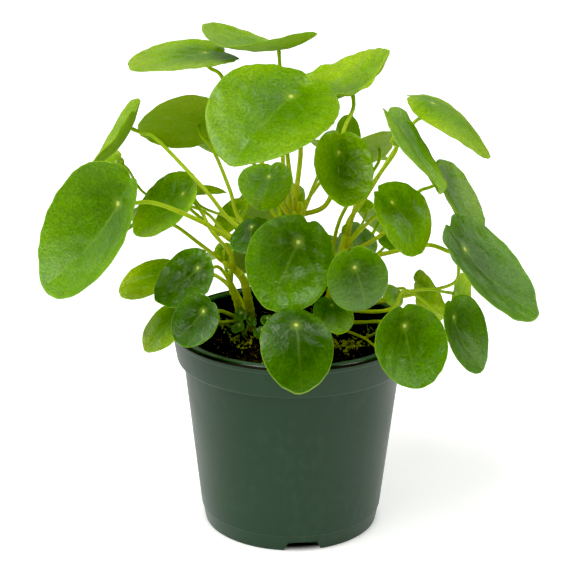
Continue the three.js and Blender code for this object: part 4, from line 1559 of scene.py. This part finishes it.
@dataclass
class StemShape:
    """A fleshy stem that stands in the soil, ringed with the scars of fallen leaves.

    Each scar is a ring that stands out, with a waist above it: a height, a width and, for
    the waist, how far it lies above the ring. Each leaf of its bud is the way that it
    stands off, its elevation and its length.
    """

    stem: Stem
    path: tuple[Point, ...]
    radius: Pair
    root_z: float = 101.0
    first_scar_mm: float = 18.0
    scar_mm: float = 7.5
    scar_spread: Pair = (0.6, 1.3)
    scar_ring: Pair = (0.28, 0.7)
    scar_waist: Point = (0.12, 1.6, 2.0)
    ripe: Pair = (0.05, 0.42)
    steps: int = 40
    sides: int = 24
    bud: tuple[Point, ...] = ((-100, 12, 9.0), (30, 8, 7.5), (150, 20, 6.0))
    bud_r: float = 1.6
    bud_z: Pair = (2.0, 0.9)
    bud_width: float = 0.72
    bud_first: int = 60

    def at(self, height: float) -> np.ndarray:
        """Finds the middle of the stem.

        Args:
            height: Height over the table.

        Returns:
            The middle at that height, or at the tip where the height lies above it.
        """
        line = np.array(self.path)
        x, y = (np.interp(height, line[:, 2], line[:, i]) for i in (0, 1))
        return np.array([x, y, min(height, line[-1, 2])])

    def trunk(self) -> Body:
        """Makes the stem itself, with a domed tip and low scars.

        Returns:
            Points, faces and marks.
        """
        path = curve_through(np.array([(*self.path[0][:2], self.root_z), *self.path]), self.steps)
        spans = spans_of(path)
        share = spans / spans[-1]
        radii = self.radius[0] + (self.radius[1] - self.radius[0]) * share
        draw = random.Random(int(10 * self.radius[0]))
        (out, ring_wide), (in_, waist_wide, above) = self.scar_ring, self.scar_waist
        place = self.first_scar_mm
        while place < spans[-1]:
            ring = out * np.exp(-(((spans - place) / ring_wide) ** 2))
            waist = in_ * np.exp(-(((spans - place - above) / waist_wide) ** 2))
            radii = radii + ring - waist
            place += self.scar_mm * draw.uniform(*self.scar_spread)
        return tube(path, radii, self.sides, self.ripe[0] + self.ripe[1] * share)

    def build(self, leaves: list[Leaf], soil: Soil, material: Material) -> Piece:
        """Makes the stem with its leaf stalks in place of the frame's.

        Args:
            leaves: All leaves that grow from this stem.
            soil: The soil that the right stem's runner lies over.
            material: Finish of stem and stalks.

        Returns:
            The stem with every stalk grown on it.
        """
        bodies = [self.trunk()] + [leaf.stalk(self.at(leaf.height)) for leaf in leaves]
        if self.stem is Stem.RIGHT:
            bodies += Runner().limbs(soil)
        piece = make_piece(f"{self.stem.value}_grown", merge(bodies), material)
        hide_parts(self.stem.value)
        return piece

    def budded(self, material: Material) -> Piece:
        """Makes the folded young leaves at the tip of the stem as one piece.

        Args:
            material: Finish of the blades.

        Returns:
            The bud.
        """
        top = np.array(self.path[-1], dtype=float)
        twist = 40 * self.radius[0]
        bodies = []
        for i, (azimuth, elevation, length) in enumerate(self.bud):
            turned = math.radians(azimuth + twist)
            lift = self.bud_z[0] + self.bud_z[1] * i
            place = top + np.array([self.bud_r * math.cos(turned), self.bud_r * math.sin(turned), lift])
            young = Leaf(
                "bud", tuple(place), (azimuth + twist + 180, elevation), turn=180,
                size=(length, self.bud_width * length), dish=0.5, fold=0.5, stem=self.stem, height=0,
                by=(tuple(top),), green=Green.YOUNG, crinkle=0.2, index=self.bud_first + i,
            )
            bodies.append(young.blade())
        piece = make_piece(f"{self.stem.value}_bud", merge(bodies), material)
        return piece


@dataclass
class Pup:
    """Plantlet at the foot: a few tiny leaves on short stalks.

    Each of its leaves is the hub's place from the crown, an azimuth and a length.
    """

    node: str
    foot: Pair
    leaves: tuple[tuple[Point, float, float], ...]
    first: int
    crown_h: float = 2.0
    tilt: float = 48.0
    root_z: float = 108.0
    root_r: Pair = (0.95, 0.9)
    root_ripe: Pair = (0.1, 0.3)
    stalk_r: Pair = (0.85, 0.5)
    stalk_ripe: Pair = (0.35, 0.9)
    steps: int = 8
    root_sides: int = 12
    stalk_sides: int = 10
    sag: float = 0.12
    blade_width: float = 0.94
    under_blade: float = 0.8

    def build(self, soil: Soil, blade: Material, skin: Material) -> list[Piece]:
        """Makes the plantlet's blades in place of the frame's, and its stalks.

        Args:
            soil: The soil that it stands in.
            blade: Finish of the blades.
            skin: Finish of the stalks.

        Returns:
            The blades and the stalks.
        """
        x, y = self.foot
        crown = np.array([x, y, float(soil.plain(x, y)) + self.crown_h])
        root = np.array([(x, y, self.root_z), crown])
        stalks = [tube(root, np.array(self.root_r), self.root_sides, np.array(self.root_ripe))]
        blades = []
        for i, (offset, azimuth, length) in enumerate(self.leaves):
            hub = crown + np.array(offset)
            young = Leaf(
                self.node, tuple(hub), (azimuth, self.tilt), turn=0,
                size=(length, self.blade_width * length), dish=0.2, fold=0.1, stem=Stem.MAIN, height=0,
                by=(tuple(crown),), green=Green.AGED, crinkle=0.9, index=self.first + i,
            )
            blades.append(young.blade())
            bend = crown + 0.5 * (hub - crown) - np.array([0.0, 0.0, self.sag * length])
            end = hub - young.axes()[0] * self.under_blade
            path = curve_through(np.array([crown, bend, end]), self.steps)
            radii, ripe = (np.linspace(*span, len(path)) for span in (self.stalk_r, self.stalk_ripe))
            stalks.append(tube(path, radii, self.stalk_sides, ripe))
        leafy = make_piece(f"{self.node}_blades", merge(blades), blade)
        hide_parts(self.node)
        woody = make_piece(f"{self.node}_stalks", merge(stalks), skin)
        return [leafy, woody]


@dataclass
class Plant:
    """The whole plant: four stems, their leaves, the buds at their tips and two plantlets."""

    stems: tuple[StemShape, ...] = (
        StemShape(Stem.MAIN, ((-2, 14, 122), (0, 11, 150), (3, 8, 205)), (5.2, 3.4)),
        StemShape(Stem.LEFT, ((-26, 18, 122), (-28, 14, 140), (-32, 10, 157), (-42, 6, 168)), (3.4, 2.3)),
        StemShape(Stem.LOW_LEFT, ((-34, 20, 122), (-34, 8, 138), (-39, 0, 156)), (3.0, 2.2)),
        StemShape(Stem.RIGHT, ((20, 20, 122), (26, 14, 150), (33, 8, 184)), (4.4, 3.0)),
    )
    pups: tuple[Pup, ...] = (
        Pup("pup_left", (-30, -2),
            (((-3, -4, 8), -120, 9), ((3, 1, 10), -50, 8), ((-2, 2, 14), -100, 9)), 51),
        Pup("pup_front", (-17, -6),
            (((-2, -5, 8), -125, 9), ((4, -3, 7), -50, 8), ((1, 2, 13), -80, 9)), 54),
    )

    def build(self, leaves: list[Leaf], soil: Soil, blade: Material, skin: Material) -> list[Piece]:
        """Makes every piece of the plant.

        Args:
            leaves: The leaves in the frame's order.
            soil: The soil that stems and plantlets stand in.
            blade: Finish of the blades.
            skin: Finish of stems and stalks.

        Returns:
            The pieces.
        """
        pieces = []
        for shape in self.stems:
            own = [leaf for leaf in leaves if leaf.stem is shape.stem]
            pieces += [shape.build(own, soil, skin), shape.budded(blade)]
        for leaf in leaves:
            piece = make_piece(f"{leaf.node}_blade", leaf.blade(), blade)
            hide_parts(leaf.node)
            pieces.append(piece)
        for pup in self.pups:
            pieces += pup.build(soil, blade, skin)
        return pieces


# The leaves in the frame's order, with the frame's places, sizes and shapes, and greens that are partly their
# own colour and partly painted light and shade
LEAVES = (
    Leaf("leaf_top", (-10, 28, 298), (122, 81), 102, (65, 74), 0.35, 0.12,
         Stem.MAIN, 200, ((-3, 8, 206), (-9, 26, 284)), Green.FRESH, curl=(-0.14, -0.18)),
    Leaf("leaf_top_left", (-55, 28, 295), (-57, 85), -84, (69, 65), 0.01, -0.01,
         Stem.MAIN, 192, ((-6, 12, 202), (-43, 26, 278), (-47, 29, 283)), Green.BRIGHT, curl=(-0.14, 0.15)),
    Leaf("leaf_top_centre", (-2, -40, 284), (-84, 62), -39, (82, 74), -0.2, 0.33,
         Stem.MAIN, 203, ((1, 2, 206), (4, 2, 242)), Green.GROWN, crinkle=0.35, curl=(0.05, 0.07)),
    Leaf("leaf_top_right", (35, 29, 271), (164, 65), -64, (78, 69), 0.45, 0.14,
         Stem.MAIN, 198, ((20, 6, 206), (30, 9, 252)), Green.TENDER, crinkle=0.9, curl=(-0.1, 0)),
    Leaf("leaf_left_upper", (-60, 45, 246), (90, 33), 116, (53, 52), -0.48, 0.21,
         Stem.MAIN, 176, ((-33, 20, 191), (-40, 24, 210), (-51, 34, 233)), Green.YOUNG),
    Leaf("leaf_left_edge_on", (-99, 3, 254), (175, 26), -22, (59, 55), 0.41, 0.13,
         Stem.MAIN, 178, ((-35, 6, 192), (-54, 1, 216), (-87, 2, 250)), Green.BRIGHT),
    Leaf("leaf_left_large", (-103, -40, 219), (-137, 11), -27, (88, 70), 0.57, 0.19,
         Stem.MAIN, 170, ((-38, -4, 187), (-57, -14, 201), (-85, -30, 217)), Green.GROWN, curl=(-0.14, 0.14)),
    Leaf("leaf_left_behind", (-112, 40, 223), (-128, 20), -48, (22, 21), 0, 0,
         Stem.MAIN, 172, ((-40, 16, 183), (-56, 22, 196), (-94, 34, 204)), Green.YOUNG),
    Leaf("leaf_left_middle", (-68, 12, 210), (-148, 37), -12, (51, 49), 0.35, 0.08,
         Stem.LEFT, 162, ((-39, 0, 176), (-51, -2, 192), (-56, 2, 201)), Green.FRESH, crinkle=0.5),
    Leaf("leaf_left_tiny", (-43, 12, 176), (-90, 50), 0, (13, 12), 0.1, 0.1,
         Stem.LEFT, 160, ((-40, 11, 171),), Green.YOUNG),
    Leaf("leaf_left_small", (-63, 35, 204), (89, 86), -66, (29, 28), 0, 0.12,
         Stem.MAIN, 178, ((-35, 26, 189),), Green.YOUNG),
    Leaf("leaf_inner_left", (-34, 43, 190), (-147, 41), -18, (29, 27), 0, 0.26,
         Stem.MAIN, 168, ((-22, 36, 181),), Green.YOUNG),
    Leaf("leaf_inner_dark", (-25, -20, 199), (-130, 50), 29, (28, 27), 0.07, 0,
         Stem.MAIN, 160, ((-16, 0, 181),), Green.AGED),
    Leaf("leaf_centre_small", (-15, -15, 229), (-99, 54), -1, (39, 32), 0.34, 0.25,
         Stem.MAIN, 185, ((-13, 0, 203),), Green.FRESH, curl=(-0.15, -0.21)),
    Leaf("leaf_centre_large", (3, -67, 205), (-96, 9), -23, (58, 52), -0.01, 0.06,
         Stem.MAIN, 140, ((4, -30, 181),), Green.DULL, crinkle=1.0, curl=(0.05, 0.37)),
    Leaf("leaf_centre_right", (35, -85, 196), (-79, 1), 19, (44, 36), -0.5, 0.06,
         Stem.RIGHT, 140, ((31, -40, 171),), Green.DULL, crinkle=0.3),
    Leaf("leaf_right_upper", (26, -35, 250), (-68, 28), -15, (49, 38), 0.47, 0.38,
         Stem.MAIN, 195, ((6, -4, 204), (15, -10, 229)), Green.FRESH, crinkle=0.8, curl=(0.01, -0.1)),
    Leaf("leaf_right_middle", (57, -50, 224), (-48, 39), 27, (47, 41), -0.37, 0.24,
         Stem.RIGHT, 177, ((41, -10, 195),), Green.GROWN, crinkle=0.6, curl=(-0.02, 0.16)),
    Leaf("leaf_right_large", (102, -35, 191), (-26, 34), 13, (79, 67), 0.36, 0.01,
         Stem.RIGHT, 166, ((58, -6, 179), (82, -14, 187)), Green.DEEP, crinkle=0.5, curl=(-0.03, -0.05)),
    Leaf("leaf_right_behind", (93, 22, 217), (-19, 29), -13, (55, 53), 0.24, 0.18,
         Stem.RIGHT, 172, ((54, 5, 187), (77, 15, 212)), Green.FRESH),
    Leaf("leaf_far_right", (84, 15, 268), (-14, 69), 10, (62, 61), -0.3, -0.11,
         Stem.RIGHT, 180, ((34, 9, 194), (42, 10, 206), (64, 13, 243), (74, 15, 257)), Green.BRIGHT,
         curl=(-0.19, 0.01)),
    Leaf("leaf_right_edge_on", (62, -26, 261), (-9, 39), -20, (60, 70), -0.41, 0.49,
         Stem.RIGHT, 182, ((38, 2, 204), (50, -2, 225), (61, -18, 249)), Green.GROWN, curl=(0.39, -0.11)),
    Leaf("leaf_inner_upper", (33, 46, 235), (42, 3), -178, (24, 23), 0.24, 0,
         Stem.MAIN, 200, ((18, 27, 217),), Green.YOUNG),
    Leaf("leaf_inner_right", (53, 37, 234), (126, 47), 88, (50, 48), 0, -0.04,
         Stem.RIGHT, 133, ((29, 23, 191),), Green.YOUNG),
    Leaf("leaf_inner_bud", (46, 28, 197), (-91, 57), -160, (12, 11), 0, 0,
         Stem.RIGHT, 170, ((38, 15, 184),), Green.YOUNG),
    Leaf("leaf_inner_low", (43, 31, 181), (-30, 46), -46, (25, 24), 0, 0.07,
         Stem.RIGHT, 160, ((33, 22, 168),), Green.GROWN),
    Leaf("leaf_inner_low_right", (60, 20, 181), (-90, 62), 66, (24, 23), 0.03, 0.05,
         Stem.RIGHT, 158, ((45, 20, 164),), Green.GROWN),
    Leaf("leaf_low_right_thin", (82, 20, 147), (-24, 24), 38, (37, 35), 0.1, -0.17,
         Stem.RIGHT, 141, ((58, 7, 149), (68, 9, 151)), Green.YOUNG, crinkle=0.6),
    Leaf("leaf_low_right_pointed", (101, 0, 151), (-20, 0), 45, (36, 34), 0.24, 0.06,
         Stem.RIGHT, 128, ((59, 4, 145), (76, 2, 152), (89, 1, 153)), Green.TENDER),
    Leaf("leaf_low_right_outer", (97, -35, 148), (-33, 11), 6, (47, 51), 0.54, 0.03,
         Stem.RIGHT, 133, ((62, -21, 149), (68, -16, 158), (78, -24, 156)), Green.MATURE, curl=(0.01, -0.16)),
    Leaf("leaf_low_right_front", (65, -75, 157), (-65, 12), 2, (48, 47), 0.5, 0.02,
         Stem.RIGHT, 126, ((40, 6, 129), (53, -14, 137)), Green.DEEP, crinkle=0.7),
    Leaf("leaf_low_right_small", (64, -5, 153), (-36, 44), -77, (17, 16), -0.15, 0,
         Stem.RIGHT, 130, ((57, -2, 148),), Green.BRIGHT),
    Leaf("leaf_front_right_small", (23, -55, 162), (-66, 57), -6, (27, 25), -0.16, 0.04,
         Stem.RIGHT, 126, ((20, -24, 145),), Green.GROWN),
    Leaf("leaf_front", (2, -95, 164), (-74, 50), -4, (48, 43), -0.36, -0.11,
         Stem.MAIN, 124, ((2, -45, 144),), Green.AGED, crinkle=0.35, curl=(-0.2, -0.02)),
    Leaf("leaf_low_left", (-57, -30, 176), (-132, 30), -27, (41, 38), 0.47, -0.15,
         Stem.LOW_LEFT, 150, ((-41, -6, 163), (-46, -12, 171)), Green.DEEP, crinkle=0.8),
    Leaf("leaf_low_left_behind", (-81, 0, 161), (-124, 69), -60, (40, 39), -0.31, 0.17,
         Stem.LOW_LEFT, 154, ((-50, 0, 162), (-66, 2, 160)), Green.TENDER),
    Leaf("leaf_low_left_front", (-52, -65, 161), (-121, 25), -30, (33, 32), -0.12, 0.29,
         Stem.LOW_LEFT, 127, ((-44, -25, 147),), Green.AGED, curl=(0.32, 0.17)),
    Leaf("leaf_low_left_outer", (-71, -30, 145), (-142, 58), -9, (37, 35), -0.35, 0.17,
         Stem.LOW_LEFT, 125, ((-44, -10, 134), (-55, -24, 140)), Green.BRIGHT),
    Leaf("leaf_back_high", (-5, 75, 246), (100, 60), 0, (72, 68), -0.25, 0.1,
         Stem.MAIN, 195, ((-4, 35, 228),), Green.FRESH),
    Leaf("leaf_back_high_left", (-39, 79, 234), (105, 58), -18, (58, 55), -0.2, 0.1,
         Stem.MAIN, 190, ((-22, 38, 218),), Green.BRIGHT),
    Leaf("leaf_back_high_right", (34, 76, 224), (55, 72), 20, (56, 53), -0.2, 0.1,
         Stem.RIGHT, 182, ((42, 41, 213),), Green.TENDER),
    Leaf("leaf_back_left", (-75, 66, 195), (140, 65), 0, (56, 53), -0.25, 0.1,
         Stem.MAIN, 158, ((-31, 39, 165),), Green.FRESH),
    Leaf("leaf_back_middle", (-12, 93, 187), (110, 36), 15, (56, 53), -0.2, 0.1,
         Stem.MAIN, 155, ((-6, 45, 172),), Green.YOUNG),
    Leaf("leaf_back_right", (59, 74, 180), (40, 52), 18, (56, 53), -0.25, 0.1,
         Stem.RIGHT, 150, ((46, 40, 168),), Green.TENDER),
    Leaf("leaf_back_low_left", (-48, 86, 148), (125, 62), 40, (52, 50), -0.2, 0.1,
         Stem.LEFT, 128, ((-40, 51, 139),), Green.FRESH),
    Leaf("leaf_back_low", (16, 98, 150), (75, 25), 15, (56, 53), -0.25, 0.1,
         Stem.MAIN, 128, ((8, 48, 142),), Green.FRESH),
    Leaf("leaf_back_low_right", (44, 84, 153), (40, 30), 20, (44, 42), -0.2, 0.1,
         Stem.RIGHT, 130, ((42, 46, 142),), Green.TENDER),
    Leaf("leaf_far_left", (-97, 43, 185), (165, 50), 30, (48, 46), -0.2, 0.1,
         Stem.LEFT, 160, ((-57, 9, 178), (-76, 20, 188)), Green.FRESH),
    Leaf("leaf_far_right_low", (112, 50, 168), (0, 38), 0, (48, 46), -0.2, 0.1,
         Stem.RIGHT, 132, ((86, 46, 136), (106, 48, 143)), Green.FRESH),
    Leaf("leaf_inner_back_left", (-28, 56, 162), (110, 45), -10, (40, 38), -0.2, 0.1,
         Stem.MAIN, 130, ((-14, 32, 148),), Green.YOUNG),
    Leaf("leaf_inner_back_right", (26, 54, 168), (75, 55), 10, (42, 40), -0.2, 0.1,
         Stem.RIGHT, 145, ((30, 30, 160),), Green.TENDER),
)


# ----------------------------------------------------------------------------------------------
# Studio
# ----------------------------------------------------------------------------------------------


@dataclass(frozen=True)
class SoftBox:
    """One flat lamp behind white cloth: its place and size in metres, and its power in watts."""

    name: str
    at: Point
    size: Pair
    power: float
    aim: Point = (0.0, 0.0, 0.2)

    def hang(self) -> None:
        """Hangs the lamp so that it faces the plant, out of the camera's sight."""
        lamp = bpy.data.lights.new(self.name, "AREA")
        lamp.shape, lamp.energy = "RECTANGLE", self.power
        lamp.size, lamp.size_y = self.size
        stand = bpy.data.objects.new(self.name, lamp)
        stand.location = self.at
        stand.rotation_euler = (Vector(self.at) - Vector(self.aim)).to_track_quat("Z", "Y").to_euler()
        stand.visible_camera = False
        bpy.context.scene.collection.objects.link(stand)


@dataclass
class Studio:
    """Lit white table, soft light from above and both sides, and the camera.

    Each lamp is a name, where it shines from, its width in degrees and its strength.
    """

    eye_mm: Point = (0.0, -1057.7, 520.4)
    pitch: float = 19.13
    yaw: float = -0.16
    roll: float = 0.51
    sensor_mm: float = 36.0
    focal_px: float = 1800.0
    picture_px: int = 576
    view_depth_m: float = 100.0
    near_r_mm: float = 320.0
    floor_r_mm: float = 8000.0
    gap_mm: float = 0.15
    table_sides: int = 96
    sky: str = "#ffffff"
    sky_strength: float = 0.09
    lamps: tuple[tuple[str, Point, float, float], ...] = (
        ("soft_lamp", (-0.45, -0.36, 0.9), 50.0, 2.5),
        ("lamp_core", (-0.35, -0.19, 0.92), 6.0, 0.3),
    )
    black_level: float = 0.01
    boxes: tuple[SoftBox, ...] = (
        SoftBox("back_softbox", (0.0, 1.9, 0.95), (2.4, 0.6), 2.4),
        SoftBox("right_softbox", (1.5, 0.6, 0.85), (1.0, 0.9), 5.5),
        SoftBox("high_right_softbox", (0.95, -0.05, 1.45), (0.5, 0.5), 7.0),
        SoftBox("left_softbox", (-1.6, 0.6, 0.6), (1.0, 0.7), 4.0),
    )

    def floor(self) -> None:
        """Lays the white table under the pot, as a near disc and a far ring flush with it.

        The far ring stays out of the gloss, as if it were in the dark round the lit table.
        """
        count = self.table_sides
        near, far = (ring_at(r, -self.gap_mm, count) for r in (self.near_r_mm, self.floor_r_mm))
        around = [(i, count + i, count + (i + 1) % count, (i + 1) % count) for i in range(count)]
        finish = TableFinish().material()
        disc = make_piece("table_near", (near, [tuple(range(count))], {}), finish)
        ring = make_piece("table_far", (np.vstack([near, far]), around, {}), finish)
        ring.visible_glossy = False

    def light(self) -> None:
        """Lights the scene by a dim sky, one broad lamp with a bright core, and the soft boxes."""
        scene = bpy.context.scene
        world = bpy.data.worlds.new("studio")
        world.use_nodes = True
        back = world.node_tree.nodes["Background"]
        back.inputs["Color"].default_value = paint(self.sky)
        back.inputs["Strength"].default_value = self.sky_strength
        scene.world = world
        for name, origin, angle, strength in self.lamps:
            lamp = bpy.data.lights.new(name, "SUN")
            lamp.energy, lamp.angle = strength, math.radians(angle)
            holder = bpy.data.objects.new(name, lamp)
            holder.rotation_euler = Vector(origin).to_track_quat("Z", "Y").to_euler()
            scene.collection.objects.link(holder)
        for box in self.boxes:
            box.hang()
        view = scene.view_settings
        view.view_transform = "Standard"
        view.use_curve_mapping = True
        view.curve_mapping.black_level = (self.black_level,) * 3
        view.curve_mapping.update()

    def camera(self) -> None:
        """Sets the camera where the photograph was taken from."""
        pitch, yaw, roll = (math.radians(a) for a in (self.pitch, self.yaw, self.roll))
        level = math.cos(pitch)
        ahead = Vector((math.sin(yaw) * level, math.cos(yaw) * level, -math.sin(pitch)))
        side = ahead.cross(Vector((0, 0, 1))).normalized()
        above = side.cross(ahead)
        right = math.cos(roll) * side + math.sin(roll) * above
        up = math.cos(roll) * above - math.sin(roll) * side
        camera = bpy.data.cameras.new("camera")
        camera.sensor_width = self.sensor_mm
        camera.lens = self.sensor_mm * self.focal_px / self.picture_px
        camera.clip_end = self.view_depth_m
        holder = bpy.data.objects.new("camera", camera)
        view_axes = Matrix((right, up, -ahead)).transposed().to_4x4()
        holder.matrix_world = Matrix.Translation(Vector(self.eye_mm) * MM) @ view_axes
        bpy.context.scene.collection.objects.link(holder)
        bpy.context.scene.camera = holder


# ----------------------------------------------------------------------------------------------
# The whole
# ----------------------------------------------------------------------------------------------


def main() -> None:
    """Builds the studio, the pot, the soil and the plant, and reports each piece."""
    studio = Studio()
    studio.camera()
    studio.light()
    studio.floor()
    peat, moss = PeatFinish().material(), MossFinish().material()
    straw = MossFinish("root_fibre_dry", "#2c2010", "#8a6d34", 6.0).material()
    blade, skin = BladeFinish().material(), StalkFinish().material()
    soil = Soil()
    leaves = [replace(leaf, index=i) for i, leaf in enumerate(LEAVES)]
    pieces = [Pot().build(PotFinish().material()), soil.bed(peat), soil.crumbs(peat), soil.moss(moss)]
    pieces.append(soil.fibres(straw))
    pieces += Plant().build(leaves, soil, blade, skin)
    for piece in pieces:
        log.info("%s: %d faces, %s", piece.name, len(piece.data.polygons), piece.data.materials[0].name)


if __name__ == "__main__":
    main()
